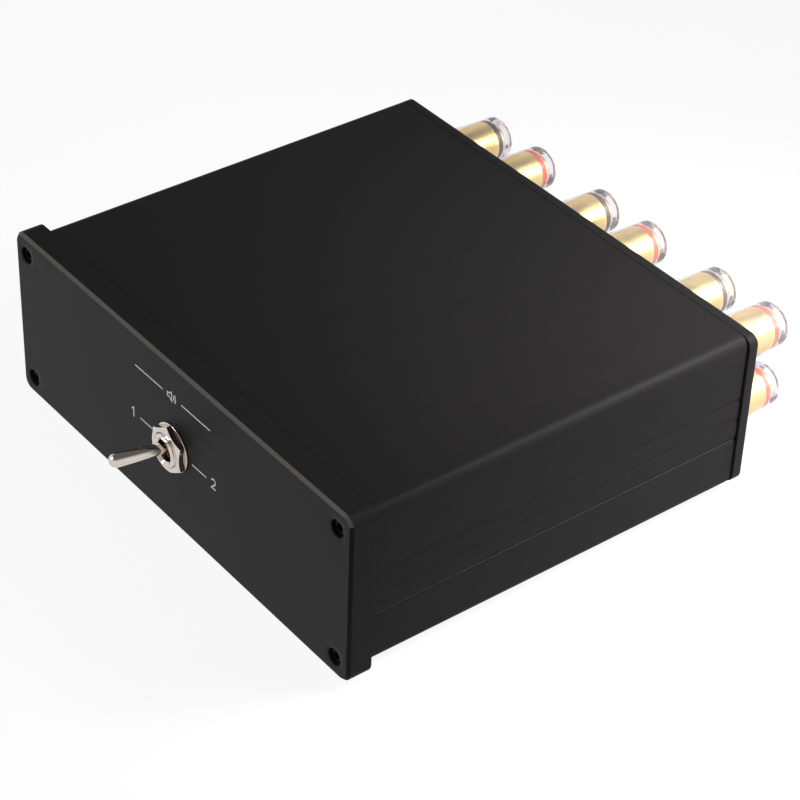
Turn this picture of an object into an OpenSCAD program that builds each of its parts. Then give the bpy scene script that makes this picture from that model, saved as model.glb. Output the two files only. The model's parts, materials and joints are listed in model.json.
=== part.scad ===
// Two-way selector box: a toggle switch on the front panel joins one of two sets of binding posts
// on the rear panel to a third set. Units are millimetres.
// +X is to the right seen from the front, +Y to the rear, +Z up.
// The origin lies on the table, midway between the sides and midway from the lever's tip to the caps' ends.

/* [Front panel] */
// Width of the front panel
front_w = 151.2; // [140:0.2:180]
// Height of the front panel
front_h = 52.2; // [49:0.1:60]
// Thickness of the front panel
front_t = 7.3; // [6.2:0.1:10]
// Corner radius of the front panel
front_r = 3.5; // [1:0.25:4]
// Chamfer round the front panel's outer edge
front_chamfer = 0.8; // [0.2:0.1:0.9]
// Distance of each panel screw from the front panel's sides
screw_edge_x = 5.6; // [5:0.1:6]
// Distance of each panel screw from the front panel's top and bottom edges
screw_edge_z = 5.75; // [5.4:0.05:6]
// Thickness left in front of the pocket for the switch
panel_skin = 3.2; // [2:0.1:4]

/* [Case] */
// Length of the case between the panels
case_len = 121.8; // [100:1:180]
// Inset of the case sides from the front panel's sides
inset_side = 1.9; // [1:0.1:2.4]
// Inset of the case top from the front panel's top edge
inset_top = 2; // [0.5:0.1:2.2]
// Inset of the case underside from the front panel's bottom edge
inset_bottom = 1.8; // [0.5:0.1:2.2]
// Wall thickness of the case
case_wall = 2; // [1.6:0.1:2.4]
// Radius of the case's long outer edges
case_r = 2.5; // [1:0.25:4]
// Height of the seam between the shells, above the case's underside
seam_h = 15.8; // [12:0.1:18]
// Gap that shows at the seam
seam_gap = 0.1; // [0.1:0.05:0.5]
// Height of the lap behind the seam
lap_h = 2; // [1:0.25:3]
// Clearance in the lap
lap_clear = 0.1; // [0.05:0.05:0.2]
// Height step from the seam to the first groove, and between grooves
groove_step = 6.45; // [4:0.05:8]
// Number of grooves on each side of the upper shell
groove_count = 2; // [1:1:4]
// Width of a groove, which is a shallow V
groove_w = 2; // [0.3:0.1:2.6]
// Depth of a groove
groove_d = 0.3; // [0.1:0.05:0.8]
// Diameter of the screw channels in the case's corners
channel_d = 6; // [5:0.2:7]

/* [Rear panel] */
// Thickness of the rear panel
rear_t = 3.2; // [2:0.1:4]
// Corner radius of the rear panel
rear_r = 3; // [1.5:0.25:5]
// Chamfer round the rear panel's outer edge
rear_chamfer = 0.5; // [0.2:0.1:0.9]
// How far the rear panel stands out past the case's sides
rear_side = 0.6; // [0:0.1:1]
// How far the rear panel stays inside the case's top and underside
rear_drop = 0.4; // [0:0.1:1]
// Height of the shadow gap between the case and the rear panel
shadow_gap = 0.4; // [0.2:0.1:0.8]
// Depth of the shadow gap, in from the case's outside
shadow_depth = 1; // [0.5:0.1:1.5]

/* [Feet] */
// Height of the rubber feet
foot_h = 3; // [2:0.5:6]
// Diameter of the feet where they meet the case
foot_d = 12; // [8:0.5:16]
// Diameter of the feet where they stand
foot_tip_d = 10; // [6:0.5:14]
// Distance of the feet's centres from the case's sides
foot_edge_x = 16; // [12:1:30]
// Distance of the feet's centres from the case's ends
foot_edge_y = 14; // [12:1:30]

/* [Panel screws] */
// Thread diameter of the panel screws
screw_d = 2.4; // [2:0.1:3]
// Length of the panel screws under the head
screw_len = 10; // [8:0.5:16]
// Diameter of the screw heads
screw_head_d = 4.5; // [4:0.1:5.2]
// Height of the screw heads
screw_head_h = 2.4; // [1.6:0.1:2.8]
// Width across the flats of the hexagon socket
screw_socket = 2; // [1.3:0.1:2.5]
// Depth of the hexagon socket
screw_socket_depth = 1.3; // [0.8:0.1:1.6]
// How far the front screw heads sit below the panel's face
screw_sink = 0.8; // [0:0.1:1]
// How far the rear screw heads stand out of the rear panel
screw_proud = 0.3; // [0.3:0.1:1.5]
// Radial clearance round the screw heads
head_clear = 0.2; // [0.1:0.05:0.4]
// Radial clearance round the screw threads in the panels
hole_clear = 0.2; // [0.1:0.05:0.4]
// Radial clearance between a thread and the part that it screws into
thread_clear = 0.05; // [0.02:0.01:0.1]

/* [Toggle switch outside] */
// Diameter of the threaded bushing
bushing_d = 9.5; // [8.6:0.1:10.5]
// How far the bushing stands out past the nut
bushing_out = 0.8; // [0.2:0.1:2]
// Width across the flats of the panel nut
nut_af = 12.4; // [11.8:0.1:14]
// Thickness of the panel nut
nut_t = 2; // [1.5:0.1:3]
// Diameter of the washer
washer_d = 14; // [12:0.25:16]
// Thickness of the washer
washer_t = 0.6; // [0.4:0.1:1]
// Length of the lever from its pivot to its tip
lever_len = 19.5; // [16:0.5:26]
// Diameter of the lever at its tip
lever_tip_d = 3.9; // [3:0.1:5]
// Diameter of the lever at its root
lever_root_d = 2.7; // [2.2:0.1:3]
// Tilt of the lever to each side
lever_tilt = 12.5; // [9:0.5:14]
// Depth of the lever's pivot behind the panel's face
pivot_in = 2.2; // [1.8:0.1:2.6]
// Diameter of the lever's pivot ball
ball_d = 6.4; // [5.6:0.1:6.8]
// Running clearance round the pivot ball
ball_clear = 0.05; // [0.02:0.01:0.1]

/* [Toggle switch inside] */
// Length of the lever's inner arm, from the pivot to its driving end
arm_len = 8.5; // [7.5:0.25:10]
// Diameter of the inner arm
arm_d = 2.2; // [1.6:0.1:2.4]
// Diameter of the arm's driving end
arm_tip_d = 3; // [2.6:0.1:3.4]
// Thickness of the frame plate
frame_t = 1; // [0.8:0.1:1.2]
// Thickness of the frame's side tabs
tab_t = 0.8; // [0.6:0.1:1.2]
// Length of the frame's side tabs along the housing
tab_len = 7; // [5:0.5:12]
// Width of the frame's side tabs
tab_w = 16; // [8:1:20]
// Diameter of the flange that holds the bushing in the frame
flange_d = 11.5; // [11:0.25:13]
// Thickness of that flange
flange_t = 1; // [0.8:0.1:1.5]
// Width of the housing, along the lever's throw
house_w = 17; // [16:0.5:24]
// Height of the housing, along the row of poles
house_h = 32; // [31:0.5:36]
// Wall thickness of the housing
house_wall = 1.4; // [1:0.1:1.8]
// Thickness of the housing's back wall
house_back = 2.2; // [1.5:0.1:3]
// Distance between the poles
pole_pitch = 7; // [6.6:0.1:7.4]
// Distance of the outer terminals from the middle ones
throw_dx = 4.2; // [3.8:0.1:4.8]
// Width of the carriage along its travel
carriage_w = 7; // [6:0.25:8]
// Thickness of the carriage
carriage_t = 5.1; // [4.6:0.1:6]
// How far the carriage reaches forward of the arm's driving end
carriage_lead = 0.8; // [0.5:0.1:1]
// Running clearance of the carriage in the housing
slide_clear = 0.2; // [0.1:0.05:0.3]
// Running clearance of the driving end in the carriage
drive_clear = 0.08; // [0.04:0.02:0.1]
// Diameter of the contact plungers
plunger_d = 2.5; // [2:0.1:2.8]
// How far the plungers stand out of the carriage
plunger_out = 1.3; // [1.3:0.1:2]
// How far the plungers reach back into the carriage
plunger_in = 1.3; // [1:0.1:1.5]
// Clearance of the plungers in the carriage
plunger_clear = 0.1; // [0.05:0.05:0.15]
// Depth of the carriage wall behind the springs
spring_seat = 1; // [0.6:0.1:1.2]
// Wire diameter of the contact springs
spring_wire = 0.3; // [0.2:0.05:0.4]
// Coil diameter of the contact springs, at the middle of the wire
spring_coil_d = 1.8; // [1.4:0.1:1.9]
// Number of curls in a contact spring
spring_curls = 3; // [2:1:3]
// Length of the rocking contacts
rocker_len = 10; // [9:0.25:11]
// Width of the rocking contacts
rocker_w = 3.4; // [2.5:0.1:4]
// Thickness of the rocking contacts
rocker_t = 0.6; // [0.4:0.1:1]
// Tilt of the rocking contacts to each side
rocker_tilt = 5; // [3:0.5:7]
// Least gap between a plunger and its rocking contact
plunger_gap = 0.2; // [0.1:0.05:0.3]
// Gap between a rocking contact and its terminals
contact_gap = 0.15; // [0.1:0.05:0.25]
// Width of a terminal
term_w = 2.2; // [1.6:0.1:2.6]
// Thickness of a terminal
term_t = 0.8; // [0.5:0.1:1]
// Height of the terminal heads inside the housing
term_head = 1.5; // [1:0.1:2.5]
// Length of the terminals outside the housing
term_len = 5.8; // [4:0.2:8]
// Clearance of the terminals in the housing's back wall
term_clear = 0.05; // [0.03:0.01:0.1]

/* [Binding posts] */
// Distance between the two posts of a pair
post_pitch = 20.1; // [17:0.1:22]
// Distance between the middles of neighbouring pairs
pair_pitch = 48.2; // [40:0.1:50]
// Distance between the two rows of posts
row_pitch = 19.9; // [17:0.1:22]
// Thread diameter of the post stems
stem_d = 5.8; // [5.4:0.1:6.2]
// Diameter of the socket for a banana plug
socket_d = 4; // [3.9:0.05:4.2]
// Wall between the plug socket's floor and the cross hole
socket_floor = 0.8; // [0.4:0.1:3]
// How far the stem reaches out of the rear panel
stem_out = 20.6; // [18:0.1:26]
// Diameter of the cross hole for bare wire
cross_d = 2.6; // [2:0.1:2.8]
// Diameter of the stem's flange
stem_flange_d = 11; // [9:0.25:11.5]
// Thickness of the stem's flange
stem_flange_t = 1.8; // [1:0.1:2.5]
// Diameter of the insulating collars
collar_d = 13.6; // [12:0.2:15]
// Thickness of the insulating collars
collar_t = 1.8; // [1.4:0.1:3]
// Diameter of the collars' spigots in the rear panel
spigot_d = 8.2; // [7.8:0.1:9]
// Length of the collars' spigots
spigot_len = 1.2; // [0.6:0.1:1.4]
// Clearance of the spigots in the rear panel
spigot_clear = 0.1; // [0.05:0.05:0.2]
// Diameter of the inner insulators
insulator_d = 13; // [11:0.25:15]
// Thickness of the inner insulators
insulator_t = 2; // [1:0.1:3]
// Clearance of the stem in the collars, insulators and tabs
stem_clear = 0.1; // [0.05:0.05:0.2]
// Thickness of the solder tabs
lug_t = 0.8; // [0.5:0.1:1.2]
// Diameter of the solder tabs' rings
lug_d = 10.4; // [9:0.2:12]
// Width of the solder tabs' arms
lug_w = 3.4; // [2.6:0.1:4]
// Length of the solder tabs' arms
lug_len = 9; // [7:0.5:12]
// Diameter of the wire hole in the solder tabs
lug_hole_d = 1.8; // [1.2:0.1:2]
// Width across the flats of the post nuts
post_nut_af = 9; // [8:0.1:9.4]
// Thickness of the post nuts
post_nut_t = 4; // [2.5:0.25:5]
// How far the stems reach past the nuts
stem_in = 1.5; // [0.5:0.25:3]

/* [Post caps] */
// Gap between a core's nose and the wall of the cap's end
nose_gap = 0.3; // [0.1:0.1:0.6]
// Gap between a cap's rim and the insulating collar
rim_gap = 0.8; // [0.4:0.1:1.4]
// Diameter of the caps at the rim
cap_rim_d = 14.3; // [13.4:0.1:15.5]
// Diameter of the caps near the outer end
cap_end_d = 12.5; // [11.5:0.1:14]
// Radius of the caps' outer edges
cap_round = 1.7; // [0.8:0.1:2]
// Diameter of the plug hole in the caps' ends
cap_hole_d = 6.2; // [6:0.1:7]
// Thickness of the caps' ends
cap_end_t = 1.9; // [1.2:0.1:2.2]
// Diameter of the gold-plated cores
core_d = 9.3; // [8.8:0.1:9.8]
// Diameter of the cores' noses, which carry the marking rings
nose_d = 7.8; // [7.2:0.1:8.2]
// Length of the cores' noses
nose_len = 2.6; // [2:0.1:3.2]
// Width of the marking rings
ring_w = 1.6; // [0.6:0.1:2]
// Clearance of the cores and rings in the caps
core_clear = 0.1; // [0.05:0.05:0.15]
// Running clearance of the cores on the stems
core_run = 0.08; // [0.04:0.02:0.1]
// Gap between a tightened core and the stem's flange
core_gap = 0.2; // [0.1:0.05:0.4]
// Clearance of the caps round the stems' flanges
rim_clear = 0.4; // [0.2:0.1:0.5]

/* [Wires] */
// Diameter of the insulated wires
wire_d = 2; // [1.2:0.1:2.4]
// Gap between a wire's end and its tab or terminal
wire_gap = 0.05; // [0.02:0.01:0.2]

/* [Hidden] */
$fn = 48;
POSTS = 12;
COLUMNS = 6;
POLES = 4;
function numbered(stem) = [for (k = [1:POSTS]) str(stem, k)];

// Overlap of cutting shapes past the faces that they cut
cut = 1;

// Case and panels
case_w = front_w - 2 * inset_side;
case_h = front_h - inset_top - inset_bottom;
depth = front_t + case_len + shadow_gap + rear_t;
// How far the caps reach out of the rear panel
cap_out = stem_out + nose_gap + cap_end_t;
// How far the tilted lever stands out of the front panel
lever_out = (lever_len - lever_tip_d / 2) * cos(lever_tilt) + lever_tip_d / 2 - pivot_in;
y_front = (lever_out - depth - cap_out) / 2;
y_case = y_front + front_t;
y_case_end = y_case + case_len;
y_rear_in = y_case_end + shadow_gap;
y_rear = y_rear_in + rear_t;
z_case = foot_h;
z_front = z_case - inset_bottom;
z_mid = z_front + front_h / 2;
z_case_mid = z_case + case_h / 2;
z_seam = z_case + seam_h;
y_front_seat = y_front + screw_sink + screw_head_h;
y_rear_seat = y_rear + screw_proud - screw_head_h;
screw_x = front_w / 2 - screw_edge_x;
screw_z = front_h / 2 - screw_edge_z;
rear_w = case_w + 2 * rear_side;
rear_h = case_h - 2 * rear_drop;
// Least radius of the case's inner corners
least_r = 0.3;
inner_r = max(case_r - case_wall, least_r);

// Toggle switch, as depths behind the front panel's face
s_nut = -washer_t - nut_t;
s_bushing = s_nut - bushing_out;
s_frame = panel_skin;
s_house = s_frame + frame_t;
s_flange = s_house + flange_t;
s_drive = pivot_in + arm_len;
s_carriage = s_drive - carriage_lead;
s_carriage_end = s_carriage + carriage_t;
s_plunger_tip = s_carriage_end + plunger_out;
s_rocker = s_plunger_tip + plunger_gap;
s_rocker_end = s_rocker + rocker_t;
s_fulcrum = s_rocker_end + contact_gap;
s_pad = s_rocker_end + rocker_len / 2 * sin(rocker_tilt) + contact_gap;
s_wall = s_pad + term_head;
s_back = s_wall + house_back;
s_term = s_back + term_len;
bushing_r = bushing_d / 2;
ball_seat_r = ball_d / 2 + ball_clear;
// Lip of the bushing's mouth over the ball, which keeps the ball in
ball_lip = 0.3;
mouth_r = ball_d / 2 - ball_lip;
mouth_reach = pivot_in - s_bushing;
// Clearance of the tilted lever in the mouth
mouth_clear = 0.35;
mouth_front_r = max(
    mouth_r,
    mouth_reach * tan(lever_tilt) + lever_r(mouth_reach) / cos(lever_tilt) + mouth_clear
);
drive_bore_r = arm_tip_d / 2 + drive_clear;
drive_bore_depth = carriage_lead + arm_tip_d / 2 + 2 * drive_clear;
carriage_x = arm_len * sin(lever_tilt);
carriage_h = house_h - 2 * house_wall - 2 * slide_clear;
plunger_bore_r = plunger_d / 2 + plunger_clear;
pocket_w = house_w + 2 * tab_t + 2 * head_clear;
pocket_h = house_h + 2 * head_clear;

// Binding posts, as distances out of the rear panel's face
stem_r = stem_d / 2;
u_flange = collar_t;
u_core = collar_t + stem_flange_t + core_gap;
u_nose_end = stem_out;
u_nose = u_nose_end - nose_len;
u_cap_end_wall = cap_out - cap_end_t;
u_ring_end = u_nose + ring_w;
// Wall between a tightened core's foot and the cross hole
cross_wall = 0.6;
u_cross = u_core + cross_wall + cross_d / 2;
u_socket = u_cross + cross_d / 2 + socket_floor;
u_rim = collar_t + rim_gap;
u_insulator = -rear_t - shadow_gap;
u_lug = u_insulator - insulator_t;
u_post_nut = u_lug - lug_t;
u_stem_in = u_post_nut - post_nut_t - stem_in;
u_lug_end = u_post_nut - lug_len;
post_hole_r = spigot_d / 2 + spigot_clear;
// Distance of a solder tab's arm from the post's axis
lug_arm = lug_d / 2 + lug_t / 2;

// Wires
wire_sides = 8;
wire_steps = 7;

function arc(x, y, r, from, to, steps) =
    [for (i = [0:steps]) let (a = from + (to - from) * i / steps) [x + r * cos(a), y + r * sin(a)]];
function lever_r(reach) =
    (lever_root_d + (lever_tip_d - lever_root_d) * reach / (lever_len - lever_tip_d / 2)) / 2;

// Posts count along the upper row from the left seen from the front, then along the lower row.
function column(k) = (k - 1) % COLUMNS;
function row(k) = floor((k - 1) / COLUMNS);
function group(k) = floor(column(k) / 2) - 1;
function is_red(k) = column(k) % 2 == 1;
function post_x(k) = group(k) * pair_pitch + (column(k) % 2 - 0.5) * post_pitch;
function post_z(k) = z_mid + (0.5 - row(k)) * row_pitch;
function arm_side(k) = row(k) == 0 ? -1 : 1;
function pole_z(p) = z_mid + ((POLES - 1) / 2 - p) * pole_pitch;
function pole_of(k) = row(k) == 0 ? column(k) % 2 : 3 - column(k) % 2;

// A turned shape about the Y axis: the profile holds [radius, distance along +Y] points
module turned(profile) {
    rotate([-90, 0, 0])
        rotate_extrude()
            polygon(profile);
}

// A rod along +Y
module rod(from, to, r) {
    translate([0, from, 0])
        rotate([-90, 0, 0])
            cylinder(h = to - from, r = r);
}

// A six-sided rod along +Y, with its corners at the top and bottom
module hex_rod(from, to, flats) {
    translate([0, from, 0])
        rotate([-90, 0, 0])
            rotate([0, 0, 90])
                cylinder(h = to - from, r = flats / 2 / cos(30), $fn = 6);
}

// A flat outline drawn in X and Z, from one Y to another
module slab(from, to) {
    translate([0, to, 0])
        rotate([90, 0, 0])
            linear_extrude(to - from)
                children();
}

module round_rect(w, h, r) {
    square([w - 2 * r, h], center = true);
    square([w, h - 2 * r], center = true);
    for (x = [-1, 1], y = [-1, 1])
        translate([x * (w / 2 - r), y * (h / 2 - r)])
            circle(r);
}

// A plate with rounded corners that lies in X and Z and has a chamfered edge on its +Y face:
// a middle block, a chamfered strip along each side, and a turned corner at each end of a strip
module chamfered_plate(w, h, t, r, c) {
    x_corner = w / 2 - r;
    z_corner = h / 2 - r;
    slab(0, t)
        square([2 * x_corner, 2 * z_corner], center = true);
    for (x = [-1, 1])
        translate([x * x_corner, 0, 0])
            linear_extrude(2 * z_corner, center = true)
                polygon([[0, 0], [x * r, 0], [x * r, t - c], [x * (r - c), t], [0, t]]);
    for (z = [-1, 1])
        translate([0, 0, z * z_corner])
            rotate([90, 0, 90])
                linear_extrude(2 * x_corner, center = true)
                    polygon([[0, 0], [0, z * r], [t - c, z * r], [t, z * (r - c)], [t, 0]]);
    for (x = [-1, 1], z = [-1, 1])
        translate([x * x_corner, 0, z * z_corner])
            rotate([-90, 0, 0])
                rotate_extrude()
                    polygon([[0, 0], [r, 0], [r, t - c], [r - c, t], [0, t]]);
}

module at_screws() {
    for (x = [-1, 1], z = [-1, 1])
        translate([x * screw_x, 0, z_mid + z * screw_z])
            children();
}

module at_post(k) {
    translate([post_x(k), y_rear, post_z(k)])
        children();
}

// The switch's axis, with Y counted from the front panel's face
module at_switch() {
    translate([0, y_front, z_mid])
        children();
}

module at_poles() {
    for (p = [0:POLES - 1])
        translate([0, 0, pole_z(p) - z_mid])
            children();
}

module front_panel() {
    color("#343437")
        difference() {
            translate([0, y_case, z_mid])
                rotate([0, 0, 180])
                    chamfered_plate(front_w, front_h, front_t, front_r, front_chamfer);
            at_screws() {
                rod(y_front - cut, y_case + cut, screw_d / 2 + hole_clear);
                rod(y_front - cut, y_front_seat, screw_head_d / 2 + head_clear);
            }
            at_switch() {
                rod(-cut, panel_skin + cut, bushing_r + hole_clear);
                slab(panel_skin, front_t + cut)
                    square([pocket_w, pocket_h], center = true);
            }
        }
}

// Outline of the whole case, in X and Z
module case_outline() {
    translate([0, z_case_mid])
        round_rect(case_w, case_h, case_r);
}

module case_wall_outline() {
    difference() {
        case_outline();
        translate([0, z_case_mid])
            round_rect(case_w - 2 * case_wall, case_h - 2 * case_wall, inner_r);
    }
}

// The two screw channels on one level of the case, solid
module channels(side) {
    intersection() {
        case_outline();
        for (x = [-1, 1])
            translate([x * screw_x, z_mid + side * screw_z])
                circle(d = channel_d);
    }
}

module channel_bores(side) {
    for (x = [-1, 1])
        translate([x * screw_x, z_mid + side * screw_z])
            circle(screw_d / 2 + thread_clear);
}

// A groove on each side of the case at a height; the lowest one runs along the seam
module side_grooves(z) {
    for (x = [-1, 1])
        translate([x * case_w / 2, z])
            polygon([
                [-x * groove_d, 0],
                [0, -groove_w / 2],
                [x * cut, -groove_w / 2],
                [x * cut, groove_w / 2],
                [0, groove_w / 2]
            ]);
}

module case_top() {
    color("#2a2a2b")
        slab(y_case, y_case_end)
            difference() {
                union() {
                    intersection() {
                        case_wall_outline();
                        translate([-front_w / 2, z_seam])
                            square([front_w, case_h]);
                    }
                    channels(1);
                    for (x = [-1, 1])
                        translate([x * (case_w / 2 - case_wall * 3 / 4 - lap_clear / 2), z_seam])
                            square([case_wall / 2 - lap_clear, 2 * lap_h], center = true);
                }
                channel_bores(1);
                for (i = [0:groove_count])
                    side_grooves(z_seam + i * groove_step);
            }
}

module case_bottom() {
    color("#262627")
        slab(y_case, y_case_end)
            difference() {
                union() {
                    intersection() {
                        case_wall_outline();
                        translate([-front_w / 2, z_seam - seam_gap - case_h])
                            square([front_w, case_h]);
                    }
                    channels(-1);
                }
                channel_bores(-1);
                side_grooves(z_seam);
                for (x = [-1, 1])
                    translate([x * (case_w / 2 - case_wall), z_seam])
                        square([case_wall, 2 * (lap_h + lap_clear)], center = true);
            }
}

module rear_panel() {
    color("#2c2b2c")
        difference() {
            union() {
                translate([0, y_rear_in, z_case_mid])
                    chamfered_plate(rear_w, rear_h, rear_t, rear_r, rear_chamfer);
                slab(y_case_end, y_rear_in)
                    translate([0, z_case_mid])
                        round_rect(case_w - 2 * shadow_depth, case_h - 2 * shadow_depth, rear_r);
            }
            at_screws() {
                rod(y_case_end - cut, y_rear + cut, screw_d / 2 + hole_clear);
                rod(y_rear_seat, y_rear + cut, screw_head_d / 2 + head_clear);
            }
            for (k = [1:POSTS])
                translate([post_x(k), 0, post_z(k)])
                    rod(y_case_end - cut, y_rear + cut, post_hole_r);
        }
}

// A socket-head screw that points to +Y, with the underside of its head at Y 0
module panel_screw() {
    difference() {
        union() {
            rod(-screw_head_h, 0, screw_head_d / 2);
            rod(-screw_head_h / 2, screw_len, screw_d / 2);
        }
        hex_rod(-screw_head_h - cut, -screw_head_h + screw_socket_depth, screw_socket);
    }
}

module panel_screws() {
    color("#17171a") {
        translate([0, y_front_seat, 0])
            at_screws()
                panel_screw();
        translate([0, y_rear_seat, 0])
            at_screws()
                rotate([0, 0, 180])
                    panel_screw();
    }
}

module feet() {
    color("#1d1d1d")
        for (x = [-1, 1], y = [y_case + foot_edge_y, y_case_end - foot_edge_y])
            translate([x * (case_w / 2 - foot_edge_x), y, 0])
                cylinder(h = foot_h, d1 = foot_tip_d, d2 = foot_d);
}

module toggle_bushing() {
    color("#b9b4a6")
        at_switch()
            difference() {
                union() {
                    rod(s_bushing, s_flange, bushing_r);
                    rod(s_house, s_flange, flange_d / 2);
                }
                turned(concat(
                    [[0, s_flange + cut], [0, s_bushing - cut], [mouth_front_r, s_bushing - cut]],
                    [[mouth_front_r, s_bushing]],
                    arc(0, pivot_in, ball_seat_r, -acos(mouth_r / ball_seat_r), 0, 6),
                    [[ball_seat_r, s_flange + cut]]
                ));
            }
}

module toggle_nut() {
    // Radius just outside the nut's corners
    corner_r = nut_af / 2 / cos(30) + 0.2;
    color("#c9c4b8")
        at_switch()
            difference() {
                intersection() {
                    hex_rod(s_nut, -washer_t, nut_af);
                    // Turned chamfer on the nut's outer corners
                    turned([
                        [0, s_nut],
                        [nut_af / 2, s_nut],
                        [corner_r, s_nut + nut_t / 3],
                        [corner_r, -washer_t],
                        [0, -washer_t]
                    ]);
                }
                rod(s_nut - cut, cut, bushing_r + thread_clear);
            }
}

module toggle_washer() {
    color("#bdb7a8")
        at_switch()
            difference() {
                rod(-washer_t, 0, washer_d / 2);
                rod(-washer_t - cut, cut, bushing_r + hole_clear);
            }
}

module toggle_frame() {
    color("#a9a9a9")
        at_switch()
            difference() {
                union() {
                    slab(s_frame, s_house)
                        square([house_w + 2 * tab_t, house_h], center = true);
                    for (x = [-1, 1])
                        slab(s_frame, s_house + tab_len)
                            translate([x * (house_w + tab_t) / 2, 0])
                                square([tab_t, tab_w], center = true);
                }
                rod(s_frame - cut, s_house + cut, bushing_r + thread_clear);
            }
}

module toggle_housing() {
    color("#5a2320")
        at_switch()
            difference() {
                slab(s_house, s_back)
                    square([house_w, house_h], center = true);
                slab(s_house - cut, s_wall)
                    square([house_w - 2 * house_wall, house_h - 2 * house_wall], center = true);
                at_poles()
                    for (x = [-1:1])
                        slab(s_wall - cut, s_back + cut)
                            translate([x * throw_dx, 0])
                                square([term_w + 2 * term_clear, term_t + 2 * term_clear], center = true);
            }
}

module toggle_terminals() {
    color("#d8d2c0")
        at_switch()
            at_poles()
                for (x = [-1:1]) {
                    slab(s_wall, s_term)
                        translate([x * throw_dx, 0])
                            square([term_w, term_t], center = true);
                    // Heads inside the housing: the middle ones carry the rocking contacts
                    slab(x == 0 ? s_fulcrum : s_pad, s_wall)
                        translate([x * throw_dx, 0])
                            square([x == 0 ? term_w / 2 : term_w, rocker_w], center = true);
                }
}

module toggle_lever() {
    tip_r = lever_tip_d / 2;
    ball_r = ball_d / 2;
    arm_r = arm_d / 2;
    arm_tip_r = arm_tip_d / 2;
    root_reach = ball_r * cos(asin(lever_root_d / ball_d));
    color("#cfcac0")
        at_switch()
            translate([0, pivot_in, 0])
                rotate([0, 0, -lever_tilt])
                    turned(concat(
                        arc(0, -lever_len + tip_r, tip_r, -90, 0, 8),
                        arc(0, 0, ball_r, -acos(lever_r(root_reach) / ball_r), acos(arm_r / ball_r), 12),
                        arc(0, arm_len, arm_tip_r, -acos(arm_r / arm_tip_r), 90, 8)
                    ));
}

module toggle_carriage() {
    color("#e4e1d6")
        at_switch()
            translate([carriage_x, 0, 0])
                difference() {
                    slab(s_carriage, s_carriage_end)
                        square([carriage_w, carriage_h], center = true);
                    rod(s_carriage - cut, s_carriage + drive_bore_depth, drive_bore_r);
                    at_poles()
                        rod(s_carriage + spring_seat, s_carriage_end + cut, plunger_bore_r);
                }
}

module toggle_plungers() {
    r = plunger_d / 2;
    color("#d9b25f")
        at_switch()
            translate([carriage_x, 0, 0])
                at_poles()
                    turned(concat(
                        [[0, s_carriage_end - plunger_in], [r, s_carriage_end - plunger_in]],
                        arc(0, s_plunger_tip - r, r, 0, 90, 8)
                    ));
}

// A coil spring along +Y as one unbroken tube
module coil_spring(length, coil_r, wire_r, curls) {
    sides = 6;
    steps = 8 * curls;
    rise = length - 2 * wire_r;
    function centre(t) = [coil_r * cos(360 * curls * t), wire_r + rise * t, coil_r * sin(360 * curls * t)];
    function ring(t) =
        [for (j = [0:sides - 1])
            let (a = 360 * j / sides, c = 360 * curls * t)
                centre(t) + wire_r * [cos(a) * cos(c), sin(a), cos(a) * sin(c)]];
    points = [for (i = [0:steps]) each ring(i / steps)];
    echo(spring_gap = rise / curls - 2 * wire_r);
    polyhedron(points, tube_faces(steps, sides));
}

// Triangles of a tube whose points run ring by ring, with both ends closed
function tube_faces(steps, sides) = concat(
    [for (i = [0:steps - 1], j = [0:sides - 1])
        let (a = i * sides + j, b = i * sides + (j + 1) % sides)
            each [[a, b, b + sides], [a, b + sides, a + sides]]],
    [for (j = [1:sides - 2]) [0, j + 1, j]],
    [for (j = [1:sides - 2]) [steps * sides, steps * sides + j, steps * sides + j + 1]]
);

module toggle_springs() {
    length = carriage_t - spring_seat - plunger_in;
    color("#b8b8b8")
        at_switch()
            translate([carriage_x, s_carriage + spring_seat, 0])
                at_poles()
                    coil_spring(length, spring_coil_d / 2, spring_wire / 2, spring_curls);
}

module toggle_rockers() {
    color("#c98d4e")
        at_switch()
            translate([0, s_rocker_end, 0])
                rotate([0, 0, rocker_tilt])
                    at_poles()
                        translate([-rocker_len / 2, -rocker_t, -rocker_w / 2])
                            cube([rocker_len, rocker_t, rocker_w]);
}

module post_stem() {
    difference() {
        turned([
            [0, u_stem_in],
            [stem_r, u_stem_in],
            [stem_r, u_flange],
            [stem_flange_d / 2, u_flange],
            [stem_flange_d / 2, u_flange + stem_flange_t],
            [stem_r, u_flange + stem_flange_t],
            [stem_r, stem_out],
            [0, stem_out]
        ]);
        rod(u_socket, stem_out + cut, socket_d / 2);
        translate([0, u_cross, 0])
            cylinder(h = stem_d + 2 * cut, d = cross_d, center = true);
    }
}

module post_stems() {
    color("#d9b25f")
        for (k = [1:POSTS])
            at_post(k)
                post_stem();
}

module post_collar() {
    bore_r = stem_r + stem_clear;
    turned([
        [bore_r, -spigot_len],
        [spigot_d / 2, -spigot_len],
        [spigot_d / 2, 0],
        [collar_d / 2, 0],
        [collar_d / 2, collar_t],
        [bore_r, collar_t]
    ]);
}

module post_collars() {
    color("#e8e4da")
        for (k = [1:POSTS])
            at_post(k)
                post_collar();
}

module post_insulators() {
    bore_r = stem_r + stem_clear;
    color("#1b1b1b")
        for (k = [1:POSTS])
            at_post(k)
                turned([
                    [bore_r, u_lug],
                    [insulator_d / 2, u_lug],
                    [insulator_d / 2, u_insulator],
                    [spigot_d / 2, u_insulator],
                    [spigot_d / 2, u_insulator + spigot_len],
                    [bore_r, u_insulator + spigot_len]
                ]);
}

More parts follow.
